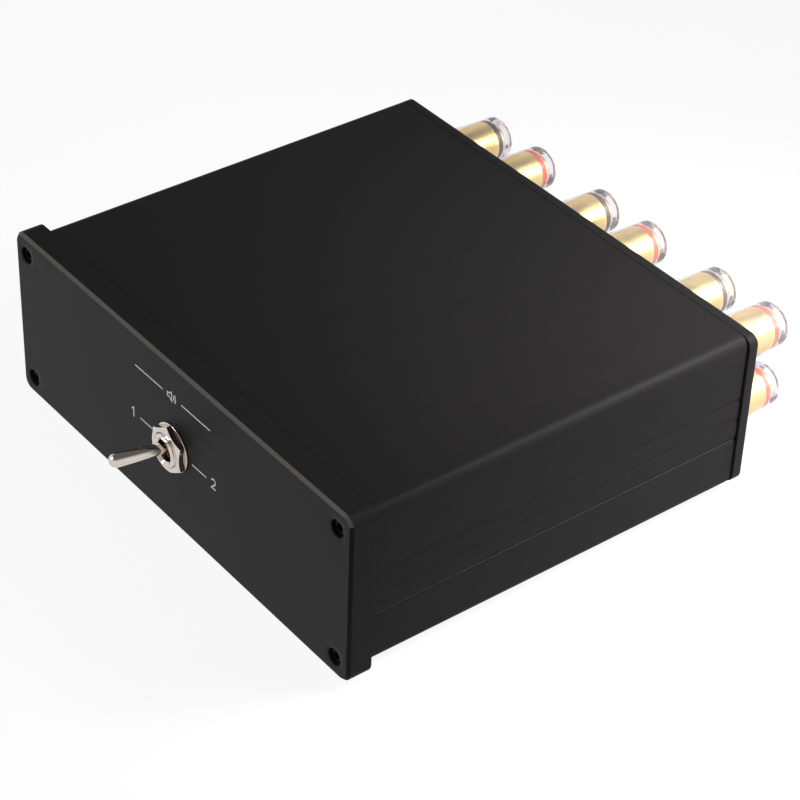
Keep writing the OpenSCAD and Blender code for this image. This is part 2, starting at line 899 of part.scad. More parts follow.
// A solder tab whose arm is bent forward, towards the middle of the case
module post_tab(side) {
    difference() {
        union() {
            rod(u_post_nut, u_lug, lug_d / 2);
            slab(u_post_nut, u_lug)
                translate([0, side * lug_arm / 2])
                    square([lug_w, lug_arm + lug_t], center = true);
            slab(u_lug_end, u_lug)
                translate([0, side * lug_arm])
                    square([lug_w, lug_t], center = true);
        }
        rod(u_post_nut - cut, u_lug + cut, stem_r + stem_clear);
        translate([0, u_lug_end + lug_w / 2, side * lug_arm])
            cylinder(h = lug_t + 2 * cut, d = lug_hole_d, center = true);
    }
}

module post_tabs() {
    color("#d6c48a")
        for (k = [1:POSTS])
            at_post(k)
                post_tab(arm_side(k));
}

module post_nuts() {
    color("#cfb06a")
        for (k = [1:POSTS])
            at_post(k)
                difference() {
                    translate([0, u_post_nut, 0])
                        rotate([90, 0, 0])
                            cylinder(h = post_nut_t, r = post_nut_af / 2 / cos(30), $fn = 6);
                    rod(u_post_nut - post_nut_t - cut, u_post_nut + cut, stem_r + thread_clear);
                }
}

// Clear cap of a post: a tapered sleeve with a rounded end and a hole for the plug
module cap_sleeve(k) {
    rim_chamfer = 0.4;
    end_r = cap_end_d / 2;
    bore_r = core_d / 2 + core_clear;
    nose_bore_r = nose_d / 2 + core_clear;
    u_step = u_ring_end + core_clear;
    color("#e9e6de", 0.4)
        at_post(k)
            turned(concat(
                [[stem_flange_d / 2 + rim_clear, u_rim]],
                [[cap_rim_d / 2 - rim_chamfer, u_rim], [cap_rim_d / 2, u_rim + rim_chamfer]],
                arc(end_r - cap_round, cap_out - cap_round, cap_round, 0, 90, 6),
                [[cap_hole_d / 2, cap_out], [cap_hole_d / 2, u_cap_end_wall]],
                [[nose_bore_r, u_cap_end_wall], [nose_bore_r, u_step]],
                [[bore_r, u_step], [bore_r, u_core]],
                [[stem_flange_d / 2 + rim_clear, u_core]]
            ));
}

// Gold-plated core of a cap, which screws onto the stem
module cap_core(k) {
    bore_r = stem_r + core_run;
    color("#e3bf66")
        at_post(k)
            turned([
                [bore_r, u_core],
                [core_d / 2, u_core],
                [core_d / 2, u_nose],
                [nose_d / 2, u_nose],
                [nose_d / 2, u_nose_end],
                [bore_r, u_nose_end]
            ]);
}

// Marking ring of a cap, round the core's nose
module cap_ring(k) {
    inner = nose_d / 2 + core_run;
    color(is_red(k) ? "#c8281e" : "#1a1716")
        at_post(k)
            turned([
                [inner, u_nose + core_run],
                [core_d / 2, u_nose + core_run],
                [core_d / 2, u_ring_end],
                [inner, u_ring_end]
            ]);
}

// A lead from the end of a post's solder tab to the end of its terminal, easing from one line to the other
module wire(k) {
    start = [post_x(k), y_rear + u_lug_end - wire_gap, post_z(k) + arm_side(k) * lug_arm];
    end = [group(k) * throw_dx, y_front + s_term + wire_gap, pole_z(pole_of(k))];
    across = [end.x - start.x, 0, end.z - start.z];
    along = [0, end.y - start.y, 0];
    function ease(t) = t * t * (3 - 2 * t);
    function slope(t) = 6 * t * (1 - t);
    function ring(t) =
        let (
            ahead = across * slope(t) + along,
            side = cross(ahead, [0, 0, 1]) / norm(cross(ahead, [0, 0, 1])),
            up = cross(side, ahead) / norm(ahead)
        )
        [for (j = [0:wire_sides - 1])
            let (a = 360 * j / wire_sides)
                start + across * ease(t) + along * t + wire_d / 2 * (side * cos(a) + up * sin(a))];
    points = [for (i = [0:wire_steps]) each ring(i / wire_steps)];
    polyhedron(points, tube_faces(wire_steps, wire_sides));
}

module wires_red() {
    color("#b3221c")
        for (k = [1:POSTS])
            if (is_red(k))
                wire(k);
}

module wires_black() {
    color("#18181a")
        for (k = [1:POSTS])
            if (!is_red(k))
                wire(k);
}

front_panel();
case_top();
case_bottom();
rear_panel();
panel_screws();
feet();
toggle_bushing();
toggle_nut();
toggle_washer();
toggle_frame();
toggle_housing();
toggle_terminals();
toggle_lever();
toggle_carriage();
toggle_plungers();
toggle_springs();
toggle_rockers();
post_stems();
post_collars();
post_insulators();
post_tabs();
post_nuts();
wires_red();
wires_black();
for (k = [1:POSTS]) {
    cap_sleeve(k);
    cap_core(k);
    cap_ring(k);
}
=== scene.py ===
"""Looks of a two-way audio selector box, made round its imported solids.

Run as a script, the file replaces the solids that show with finished pieces, gives every piece its
material and sets a plain studio round the box. Sizes are metres: +X is right seen from the front, +Y to the
rear, +Z up.
"""
import json
import math

import bmesh
import bpy
import numpy as np
from bpy.props import FloatProperty, FloatVectorProperty, PointerProperty
from mathutils import Matrix, Vector
from mathutils.geometry import tessellate_polygon


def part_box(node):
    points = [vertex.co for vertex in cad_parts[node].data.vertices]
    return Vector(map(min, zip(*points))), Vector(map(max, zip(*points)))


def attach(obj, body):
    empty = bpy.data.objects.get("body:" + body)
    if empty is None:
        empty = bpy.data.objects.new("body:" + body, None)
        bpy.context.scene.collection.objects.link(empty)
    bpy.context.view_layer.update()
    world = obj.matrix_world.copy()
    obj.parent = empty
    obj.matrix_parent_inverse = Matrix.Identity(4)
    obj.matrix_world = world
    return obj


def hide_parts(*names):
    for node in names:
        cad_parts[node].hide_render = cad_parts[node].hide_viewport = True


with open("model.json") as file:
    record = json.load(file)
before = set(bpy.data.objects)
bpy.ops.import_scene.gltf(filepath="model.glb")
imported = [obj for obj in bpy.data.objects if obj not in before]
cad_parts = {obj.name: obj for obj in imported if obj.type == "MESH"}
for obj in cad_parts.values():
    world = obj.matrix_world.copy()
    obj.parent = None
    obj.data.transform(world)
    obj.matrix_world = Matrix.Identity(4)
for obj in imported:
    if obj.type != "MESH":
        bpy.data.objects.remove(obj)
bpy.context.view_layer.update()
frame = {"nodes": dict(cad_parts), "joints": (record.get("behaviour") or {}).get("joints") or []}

bl_info = {
    "name": "Two-way selector box",
    "version": (1, 0, 0),
    "blender": (4, 5, 0),
    "location": "View3D > Sidebar > Selector",
    "description": "Builds the looks of an audio selector box round its solids",
    "category": "Object",
}

MM = 0.001
TAU = 2 * math.pi
IMAGE_PIXELS = 800  # width of the photo
SENSOR = 0.036  # width of the camera's sensor


def linear(hex_colour):
    """Linear red, green and blue of an sRGB hex value such as #343437."""
    srgb = [int(hex_colour[i:i + 2], 16) / 255 for i in (1, 3, 5)]
    return tuple(c / 12.92 if c <= 0.04045 else ((c + 0.055) / 1.055) ** 2.4 for c in srgb)


# Places, read from the solids

def box(node):
    """Lowest and highest corner of a solid, as arrays."""
    return [np.array(corner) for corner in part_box(node)]


FRONT_LOW, FRONT_HIGH = box("front_panel")
UPPER_LOW, UPPER_HIGH = box("case_top")
LOWER_LOW, LOWER_HIGH = box("case_bottom")
REAR_LOW, REAR_HIGH = box("rear_panel")
WASHER_LOW, WASHER_HIGH = box("toggle_washer")
NUT_LOW, NUT_HIGH = box("toggle_nut")
BUSHING_LOW, BUSHING_HIGH = box("toggle_bushing")
Y_FRONT, Y_CASE = FRONT_LOW[1], FRONT_HIGH[1]
Y_CASE_END = UPPER_HIGH[1]
Y_REAR = REAR_HIGH[1]
Z_MID = (FRONT_LOW[2] + FRONT_HIGH[2]) / 2
Z_CASE = LOWER_LOW[2]
Z_CASE_MID = (LOWER_LOW[2] + UPPER_HIGH[2]) / 2
CASE_W = UPPER_HIGH[0] - UPPER_LOW[0]
POST_COUNT = 12
ROW = POST_COUNT // 2  # posts in a row, the upper one first
POST_PLACES = [sum(box(f"cap_sleeve_{k}")) / 2 for k in range(1, POST_COUNT + 1)]
JOINTS = {joint["name"]: joint for joint in frame["joints"]}
PIVOT = np.array(JOINTS["toggle_throw"]["pos_m"])


def is_red(k):
    """Whether post k, counted from 1, is a red one: they alternate along each row."""
    return k % 2 == 0


# Settings

def length(name, description, millimetres):
    """A length setting, written in millimetres."""
    return FloatProperty(
        name=name, description=description, default=millimetres * MM, unit="LENGTH", precision=5)


def paint(name, description, hex_colour):
    """A colour setting, written as an sRGB hex value."""
    return FloatVectorProperty(
        name=name, description=description, default=linear(hex_colour), subtype="COLOR", size=3,
        min=0, max=1)


def angle(name, description, degrees):
    """An angle setting, written in degrees."""
    return FloatProperty(
        name=name, description=description, default=math.radians(degrees), subtype="ANGLE")


def power(name, description, watts):
    """A lamp's power setting, written in watts."""
    return FloatProperty(name=name, description=description, default=watts, unit="POWER")


def amount(name, description, value):
    """A setting that is a plain number."""
    return FloatProperty(name=name, description=description, default=value)


class CaseLook(bpy.types.PropertyGroup):
    """Sizes and colours of the panels and the case."""
    panel_colour: paint("Panels", "Black anodised plates", "#1b1b1d")
    # The chamfer colour is a painted highlight: the front panel's upward-facing chamfer gets this paler
    # colour for the light that it catches.
    chamfer_highlight_colour: paint("Chamfer", "Highlit upper edge of the front panel", "#5a5855")
    case_colour: paint("Case", "Black anodised shells", "#191818")
    # The lip colour is a painted highlight: the lower shell's upward-facing lip gets this paler colour for
    # the light line at the seam.
    lip_highlight_colour: paint("Lip", "Highlighted lip of the lower shell", "#282726")
    ink_colour: paint("Marks", "White silk-screen ink", "#c9c7c9")
    front_corner: length("Front corner", "Corner radius of the front panel", 3.5)
    front_chamfer: length("Front chamfer", "Chamfer round the front panel's face", 0.8)
    back_edge: length("Back edge", "Easing of the panels' inner edges", 0.15)
    rear_corner: length("Rear corner", "Corner radius of the rear panel", 3.0)
    rear_edge: length("Rear edge", "Edge rounding of the rear panel", 0.5)
    pad: length("Shadow gap", "Height of the gap between case and rear panel", 0.4)
    pad_inset: length("Gap depth", "Depth of that gap, in from the case", 1.0)
    case_edge: length("Case edge", "Radius of the case's long edges", 3.0)
    wall: length("Wall", "Wall thickness of the case", 2.0)
    lap: length("Lap", "Height of the lap behind the seam", 2.0)
    lap_clear: length("Lap clearance", "Clearance in the lap", 0.1)
    groove_step: length("Groove step", "Height from the seam to each groove", 6.45)
    groove_width: length("Groove width", "Width of a groove", 2.0)
    groove_depth: length("Groove depth", "Depth of a groove", 0.3)
    channel: length("Channel", "Radius of the screw channels", 3.0)
    channel_bore: length("Channel bore", "Radius of the screw channels' bores", 1.25)


class ScrewLook(bpy.types.PropertyGroup):
    """Sizes and colours of the panel screws and the feet."""
    colour: paint("Screws", "Black oxide steel", "#0f0f10")
    rubber_colour: paint("Feet", "Moulded rubber", "#141414")
    side_edge: length("Side distance", "Distance of the screws from the front panel's sides", 5.6)
    end_edge: length("Top distance", "Distance of the screws from the front panel's top and bottom", 5.75)
    head: length("Head", "Radius of the heads", 2.25)
    head_height: length("Head height", "Height of the heads", 2.4)
    shank: length("Shank", "Radius of the shanks", 1.2)
    shank_length: length("Shank length", "Length under the head", 10.0)
    socket: length("Socket", "Half the width across the socket's flats", 1.0)
    socket_depth: length("Socket depth", "Depth of the socket", 1.3)
    sink: length("Sink", "How far the front heads lie below the face", 0.8)
    proud: length("Proud", "How far the rear heads stand out", 0.3)
    bore: length("Counterbore", "Radius of the counterbores", 2.45)
    hole: length("Hole", "Radius of the screw holes", 1.4)


class ToggleLook(bpy.types.PropertyGroup):
    """Sizes and colours of the toggle switch."""
    nickel_colour: paint("Nickel", "Bright nickel plating", "#d2c9c0")
    brass_colour: paint("Brass", "Brass where the ball and its seat have rubbed the plating off", "#c2a079")
    rubbed_reach: length("Highlighted reach", "How far from the pivot the brass shows", 4.2)
    tilt: angle("Tilt", "Lean of the lever at rest", 12.5)
    lever_length: length("Lever", "From the pivot to the tip", 19.5)
    tip: length("Tip", "Radius of the lever's tip", 1.95)
    root: length("Root", "Radius of the lever's root", 1.35)
    ball: length("Ball", "Radius of the pivot ball", 3.2)
    arm: length("Arm", "Length of the inner arm", 8.5)
    arm_radius: length("Arm radius", "Radius of the inner arm", 1.1)
    arm_tip: length("Arm tip", "Radius of the inner arm's end", 1.5)
    bushing: length("Bushing", "Radius of the bushing's thread", 4.75)
    thread_pitch: length("Thread pitch", "Pitch of the bushing's thread", 0.75)
    thread_depth: length("Thread depth", "Depth of the bushing's thread", 0.3)
    mouth: length("Mouth", "Radius of the bushing's mouth", 3.13)
    flare: length("Flare", "Chamfer of the bushing's mouth", 0.7)
    seat: length("Seat", "Radius of the ball's seat", 3.25)
    flange: length("Flange", "Radius of the bushing's flange", 5.75)
    flange_height: length("Flange height", "Thickness of the bushing's flange", 1.0)
    nut_flat: length("Nut", "Half the width across the nut's flats", 6.2)


class PostLook(bpy.types.PropertyGroup):
    """Sizes and colours of the binding posts, as distances out of the rear panel."""
    clear_colour: paint("Caps", "Tint of the clear acrylic's mass", "#e6dfe8")
    density: amount("Density", "How strongly that mass takes up light, per metre", 60.0)
    gold_colour: paint("Gold", "Gold plating", "#fce28c")
    red_colour: paint("Red rings", "Moulded plastic", "#dd5238")
    black_colour: paint("Black rings", "Moulded plastic", "#453634")
    collar_colour: paint("Collars", "Milky moulded plastic", "#f1ede4")
    cap_out: length("Cap end", "Reach of the caps", 22.8)
    cap_rim: length("Cap rim", "Height of the caps' rims", 2.6)
    cap_rim_radius: length("Rim radius", "Radius of the caps at the rim", 7.15)
    cap_end_radius: length("End radius", "Radius of the caps near the end", 6.25)
    cap_round: length("End rounding", "Radius of the caps' outer edges", 1.7)
    cap_hole: length("Plug hole", "Radius of the hole in the caps' ends", 3.1)
    cap_end_wall: length("End wall", "Thickness of the caps' ends", 1.9)
    core_radius: length("Core", "Radius of the cores", 4.65)
    core_start: length("Core start", "Height of the cores' inner ends", 3.8)
    nose_radius: length("Nose", "Radius of the cores' noses", 3.9)
    nose_start: length("Nose start", "Height where the noses begin", 18.0)
    ring_width: length("Ring", "Width of the marking rings", 1.6)
    seat: length("Seat", "How far the cores sit in the caps' mass, so that no air shows there", 0.05)
    core_run: length("Running gap", "Gap between cores and stems", 0.08)
    stem_radius: length("Stem", "Radius of the stems", 2.9)
    stem_out: length("Stem end", "Reach of the stems", 20.6)
    stem_in: length("Stem inside", "Reach of the stems inside the rear panel's face", 11.9)
    socket_radius: length("Socket", "Radius of the plug sockets", 2.0)
    socket_depth: length("Socket depth", "Depth of the plug sockets", 12.8)
    flange_radius: length("Flange", "Radius of the stems' flanges", 5.5)
    flange_height: length("Flange height", "Thickness of the stems' flanges", 1.8)
    flange_gap: length("Rim gap", "Gap between caps and flanges", 0.4)
    collar_radius: length("Collar", "Radius of the collars", 6.8)
    collar_height: length("Collar height", "Thickness of the collars", 1.8)
    spigot_radius: length("Spigot", "Radius of the collars' spigots", 4.1)
    spigot_length: length("Spigot length", "Length of the collars' spigots", 1.2)
    hole_radius: length("Post hole", "Radius of the post holes in the rear panel", 4.2)


class InsideLook(bpy.types.PropertyGroup):
    """Sizes and colours of the pieces inside the case."""
    red_colour: paint("Red leads", "Vinyl insulation", "#a8201a")
    black_colour: paint("Black leads", "Vinyl insulation", "#161618")
    phenolic_colour: paint("Housing", "Moulded phenolic", "#54201c")
    nylon_colour: paint("Carriage", "Moulded nylon", "#ddd9cc")
    insulator_colour: paint("Insulators", "Moulded nylon", "#151515")
    steel_colour: paint("Frame", "Zinc-plated steel", "#a8a9aa")
    silver_colour: paint("Contacts", "Silver-plated brass", "#d3cbb4")
    lead_radius: length("Lead", "Radius of the leads", 1.0)
    spring_radius: length("Spring", "Radius of the springs, to the wire's middle", 0.9)
    spring_wire: length("Spring wire", "Radius of the springs' wire", 0.15)


class StageLook(bpy.types.PropertyGroup):
    """Camera, light and floor."""
    azimuth: angle("Azimuth", "Camera's bearing, from the front towards the right", 51.036)
    elevation: angle("Elevation", "Camera's height over the horizon", 36.98)
    roll: angle("Roll", "Camera's turn about its own axis", 2.294)
    distance: length("Distance", "Camera's distance from the point that it looks at", 729.17)
    aim: FloatVectorProperty(
        name="Aim", description="Point that the camera looks at", size=3, subtype="XYZ", unit="LENGTH",
        default=(-8.79 * MM, 11.79 * MM, 1.65 * MM))
    focal_pixels: amount("Focal length", "Focal length, in pixels of the picture", 2606.5)
    floor_colour: paint("Floor", "Pale studio floor", "#f4f4f4")
    floor_glow: amount("Floor glow", "How far the floor goes to white where it is seen", 0.9)
    sky: amount("Sky", "Strength of the light from all round", 0.2)
    ceiling: amount("Ceiling", "Brightness of the ceiling in gloss and glass", 0.15)
    key: power("Side softbox", "Power of the low softbox at the right rear", 0.6)
    fill: power("Front softbox", "Power of the softbox at the left front", 4.0)
    rim: power("Rear softbox", "Power of the small softbox over the right rear corner", 0.52)


class SelectorLook(bpy.types.PropertyGroup):
    """All the settings, in groups."""
    case: PointerProperty(type=CaseLook)
    screws: PointerProperty(type=ScrewLook)
    toggle: PointerProperty(type=ToggleLook)
    posts: PointerProperty(type=PostLook)
    inside: PointerProperty(type=InsideLook)
    stage: PointerProperty(type=StageLook)


def look():
    """The scene's settings."""
    return bpy.context.scene.selector


# Surfaces

WELD = 1e-7  # points closer than this are one point
TINY = 1e-9  # keeps a division clear of zero


def full_turn(steps):
    """The angles of a full turn, in even steps from 0."""
    return np.linspace(0, TAU, steps, endpoint=False)


def arc(radius, angles):
    """Points (radius cos a, radius sin a) for the angles a."""
    return radius * np.stack([np.cos(angles), np.sin(angles)], axis=-1)


def circle(radius, steps):
    """An arc that goes all the way round."""
    return arc(radius, full_turn(steps))


def looped(outline):
    """An outline that ends where it began."""
    return np.concatenate([outline, outline[:1]])


def mirrored(corners):
    """Corners of the right side as those of the left side, in the opposite order."""
    return [(-corner[0], *corner[1:]) for corner in reversed(corners)]


def units(vectors):
    """Vectors of length 1 along those of an array."""
    return vectors / np.maximum(np.linalg.norm(vectors, axis=-1, keepdims=True), TINY)


def sheet(points, wrap=False):
    """Four-sided faces between neighbouring points of a grid; wrap joins the last column to the first."""
    rows, columns = points.shape[:2]
    index = np.arange(rows * columns).reshape(rows, columns)
    if wrap:
        index = np.concatenate([index, index[:, :1]], axis=1)
    faces = np.stack([index[:-1, :-1], index[:-1, 1:], index[1:, 1:], index[1:, :-1]], axis=-1)
    return points.reshape(-1, 3), faces.reshape(-1, 4)


def rounded(corners, closed=False, steps=6):
    """An outline with its corners rounded.

    Each corner is (a, b, radius). A corner with a radius becomes the arc of that radius that touches both
    its sides: it starts and ends radius / tan(half the corner's angle) away from the corner.
    """
    points = np.array([corner[:2] for corner in corners], float)
    radii = [corner[2] if len(corner) > 2 else 0 for corner in corners]
    count = len(points)
    outline = []
    for i, radius in enumerate(radii):
        here = points[i]
        if radius == 0 or (not closed and i in (0, count - 1)):
            outline.append(here[None])
            continue
        to_last, to_next = units(np.stack([points[i - 1], points[(i + 1) % count]]) - here)
        half = math.acos(np.clip(to_last @ to_next, -1, 1)) / 2
        centre = here + units(to_last + to_next) * radius / math.sin(half)
        start = here + to_last * radius / math.tan(half) - centre
        turn = math.copysign(math.pi - 2 * half, -(to_last[0] * to_next[1] - to_last[1] * to_next[0]))
        sweep = np.linspace(0, turn, steps + 1)
        outline.append(centre + np.stack([
            start[0] * np.cos(sweep) - start[1] * np.sin(sweep),
            start[0] * np.sin(sweep) + start[1] * np.cos(sweep)], axis=-1))
    return np.concatenate(outline)


def turned(rows, origin, steps=96, turn=None):
    """A form turned about the Y axis.

    Each row is a ring (radius r, distance u): x = r cos a, y = u, z = r sin a for the angles a of a full
    turn. Either number may be an array over the angles, which gives flats, sockets and threads.
    """
    angles = full_turn(steps)
    radius = np.array([np.broadcast_to(row[0], steps) for row in rows])
    along = np.array([np.broadcast_to(row[1], steps) for row in rows])
    points = np.stack([radius * np.cos(angles), along, radius * np.sin(angles)], axis=-1)
    if turn is not None:
        points = points @ np.array(turn).T
    return sheet(points + origin, wrap=True)


def hexagon(flat, steps=96):
    """Radius of a hexagon over the angles of a full turn, with corners at the top and bottom.

    The radius is the half width over the cosine of the angle to the nearest flat's middle.
    """
    return flat / np.cos((full_turn(steps) + TAU / 12) % (TAU / 6) - TAU / 12)


def swept(path, radius, sides=16):
    """A round tube: a circle carried along a path of points, square to the path, with closed ends."""
    path = np.asarray(path, float)
    ahead = units(np.gradient(path, axis=0))
    side = units(np.cross(ahead, (0, 0, 1)))
    up = np.cross(side, ahead)
    across, along = circle(radius, sides).T[:, None, :, None]
    rings = path[:, None] + across * side[:, None] + along * up[:, None]
    ends = [np.repeat(path[i][None, None], sides, axis=1) for i in (0, -1)]
    return sheet(np.concatenate([ends[0], rings, ends[1]]), wrap=True)


def extruded(loops, start, end, bevel):
    """A bar along Y: flat outlines in X and Z carried from start to end, with bevelled end faces.

    The first loop is the outside and the others are holes. At the ends each outline is drawn in by the bevel
    along the mean normal of its two sides. The end faces are filled with triangles.
    """
    patches = []
    drawn_in = []
    for number, loop in enumerate(loops):
        last, following = np.roll(loop, 1, axis=0), np.roll(loop, -1, axis=0)
        normal = units(sum(units(side)[:, ::-1] * (1, -1) for side in (loop - last, following - loop)))
        area = np.sum(last[:, 0] * loop[:, 1] - loop[:, 0] * last[:, 1])
        inward = -np.sign(area) if number == 0 else np.sign(area)
        small = loop + inward * bevel * normal
        rows = [(small, start), (loop, start + bevel), (loop, end - bevel), (small, end)]
        grid = np.stack([np.insert(flat, 1, y, axis=1) for flat, y in rows])
        patches.append(sheet(grid, wrap=True))
        drawn_in.append(small)
    triangles = tessellate_polygon([[Vector((*p, 0)) for p in small] for small in drawn_in])
    flat = np.concatenate(drawn_in)
    for y in (start, end):
        patches.append((np.insert(flat, 1, y, axis=1), np.array(triangles)))
    return patches


def plate(size, depth, corner, edge, rim, columns, rows, holes, place):
    """A plate with rounded corners, a shaped rim and stepped holes.

    columns and rows are the lines that cut its face into cells, as (position, steps to the next line). A
    cell with a hole blends straight from the cell's border to the hole's circle; the others are plain grids.
    The face ends at its edge, inside the full size, and rim lists (distance outwards from there, depth)
    pairs that carry the outline round to the back. holes maps a cell to (centre, steps), the steps being
    (radius, depth) from the face to the back. place turns flat points and depths into points in space.
    """
    half = np.array(size) / 2 - edge
    curve = corner - edge
    arc_middle = half - curve

    def fit(flat):
        """Moves border points in the corners onto the corner arcs."""
        beyond = np.abs(flat) - arc_middle
        in_corner = np.all(beyond > TINY, axis=-1, keepdims=True)
        on_arc = np.sign(flat) * (arc_middle + curve * units(beyond))
        return np.where(in_corner, on_arc, flat)

    def line(lines, i):
        """Positions from line i to the next."""
        return np.linspace(lines[i][0], lines[i + 1][0], lines[i][1] + 1)

    def across(lines):
        """Positions from the first line to the last."""
        inner = [line(lines, i)[:-1] for i in range(len(lines) - 1)]
        return np.concatenate([*inner, [lines[-1][0]]])

    def border(p, q):
        """Points round a rectangle of grid lines, counter-clockwise."""
        low, high = np.full_like(q, p[0]), np.full_like(q, p[-1])
        bottom, top = np.full_like(p, q[0]), np.full_like(p, q[-1])
        sides = [(p, bottom), (high, q), (p[::-1], top), (low, q[::-1])]
        return fit(np.concatenate([np.stack(side, -1)[:-1] for side in sides]))

    patches = []
    for i in range(len(columns) - 1):
        for j in range(len(rows) - 1):
            p, q = line(columns, i), line(rows, j)
            if (i, j) not in holes:
                flat = np.stack(np.meshgrid(p, q, indexing="ij"), axis=-1)
                for level in (0, depth):
                    patches.append(sheet(place(flat, np.full(flat.shape[:2], level))))
                continue
            centre, steps = holes[i, j]
            around = border(p, q)
            ray = units(around - centre)
            wall = [centre + radius * ray for radius, _ in steps]
            flat = np.stack([around, (around + wall[0]) / 2, *wall, (around + wall[-1]) / 2, around])
            level = np.array([0, 0, *(level for _, level in steps), depth, depth])
            patches.append(sheet(place(flat, np.repeat(level[:, None], len(around), axis=1)), wrap=True))
    outline = border(across(columns), across(rows))
    outward = np.sign(outline) * units(np.maximum(np.abs(outline) - arc_middle, 0))
    offset, level = np.array(rim).T
    band = outline[None] + offset[:, None, None] * outward[None]
    patches.append(sheet(place(band, np.repeat(level[:, None], len(outline), axis=1)), wrap=True))
    return patches


def standing(y, z, sense=1):
    """A function that stands flat points up in space: x across, z plus the second number as the height, and
    y plus sense times the depth."""
    def place(flat, level):
        return np.stack([flat[..., 0], y + sense * level, z + flat[..., 1]], axis=-1)

    return place


SHARPEST = 0.4  # least cosine of half a line's turn, which limits a mitre's length


def stroke(path, width, height, place, closed=False):
    """A flat printed line: a box section carried along a flat path, mitred where the path turns."""
    path = np.asarray(path, float)
    before = path - np.roll(path, 1, axis=0)
    after = np.roll(path, -1, axis=0) - path
    if not closed:
        before[0], after[-1] = after[0], before[-1]
    before, after = units(before), units(after)
    normal = units((before + after)[:, ::-1] * (-1, 1))
    mitre = np.sum(normal * before[:, ::-1] * (-1, 1), axis=1, keepdims=True)
    side = normal * width / 2 / np.maximum(mitre, SHARPEST)
    flat = np.stack([path + side, path - side, path - side, path + side], axis=1)
    level = np.broadcast_to([-height, -height, height, height], flat.shape[:2])
    points = place(flat, level)
    if closed:
        points = np.concatenate([points, points[:1]])
    patches = [sheet(points, wrap=True)]
    if not closed:
        patches += [(points[i], np.arange(4)[None]) for i in (0, -1)]
    return patches


def piece(name, patches, material, body, nodes=(), crease=35):
    """A finished piece: the patches welded into one mesh, faces outwards, smooth up to the crease angle."""
    starts = np.cumsum([0] + [len(points) for points, _ in patches])
    points = np.concatenate([points for points, _ in patches])
    faces = [face for (_, part), start in zip(patches, starts) for face in (part + start).tolist()]
    mesh = bpy.data.meshes.new(name)
    mesh.from_pydata(points.tolist(), [], faces)
    work = bmesh.new()
    work.from_mesh(mesh)
    bmesh.ops.remove_doubles(work, verts=work.verts, dist=WELD)
    bmesh.ops.recalc_face_normals(work, faces=work.faces)
    work.to_mesh(mesh)
    work.free()
    mesh.polygons.foreach_set("use_smooth", np.ones(len(mesh.polygons), bool))
    mesh.set_sharp_from_angle(angle=math.radians(crease))
    mesh.materials.append(material)
    made = bpy.data.objects.new(name, mesh)
    bpy.context.scene.collection.objects.link(made)
    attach(made, body)
    if nodes:
        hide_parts(*nodes)
    return made


# Materials

NOISE_LOW, NOISE_HIGH = 0.3, 0.7  # where most of a noise's values lie


def add(tree, kind, settings=(), values=(), links=()):
    """Adds a node with its settings, socket values and incoming links."""
    node = tree.nodes.new(kind)
    for key, value in dict(settings).items():
        setattr(node, key, value)
    for key, value in dict(values).items():
        node.inputs[key].default_value = value
    for key, socket in dict(links).items():
        tree.links.new(socket, node.inputs[key])
    return node


def emptied(owner):
    """The node tree of a material or a world, without its first nodes."""
    owner.use_nodes = True
    owner.node_tree.nodes.clear()
    return owner.node_tree


def finish(name, values, colour, contrast, roughness, swing, grain, relief):
    """A material whose colour, roughness and relief all follow one noise on object coordinates.

    values go to the Principled shader's own sockets. The colour runs from 1 - contrast to 1 + contrast of
    itself, the roughness from 1 - swing to 1 + swing. grain is the size of the noise along X, Y and Z, and
    relief the height of the bumps, both in metres. With no contrast or relief, the shader's own socket keeps
    its value.
    """
    material = bpy.data.materials.new(name)
    tree = emptied(material)
    place = add(tree, "ShaderNodeTexCoord")
    sized = add(tree, "ShaderNodeMapping", values={"Scale": [1 / size for size in grain]},
                links={"Vector": place.outputs["Object"]})
    noise = add(tree, "ShaderNodeTexNoise", values={"Scale": 1.0, "Detail": 3.0, "Roughness": 0.6},
                links={"Vector": sized.outputs["Vector"]})
    rough = add(tree, "ShaderNodeMapRange", links={"Value": noise.outputs["Fac"]}, values={
        "From Min": NOISE_LOW, "From Max": NOISE_HIGH,
        "To Min": roughness * (1 - swing), "To Max": roughness * (1 + swing)})
    links = {"Roughness": rough.outputs["Result"]}
    if contrast:
        ramp = add(tree, "ShaderNodeValToRGB", links={"Fac": noise.outputs["Fac"]})
        ends = (NOISE_LOW, 1 - contrast), (NOISE_HIGH, 1 + contrast)
        for element, (position, factor) in zip(ramp.color_ramp.elements, ends):
            element.position = position
            element.color = (*(min(1.0, c * factor) for c in colour), 1)
        links["Base Color"] = ramp.outputs["Color"]
    if relief:
        bumps = add(tree, "ShaderNodeBump", values={"Strength": 0.5, "Distance": relief},
                    links={"Height": noise.outputs["Fac"]})
        links["Normal"] = bumps.outputs["Normal"]
    values = {"Base Color": (*colour, 1), **values}
    shader = add(tree, "ShaderNodeBsdfPrincipled", values=values, links=links)
    add(tree, "ShaderNodeOutputMaterial", links={"Surface": shader.outputs["BSDF"]})
    return material


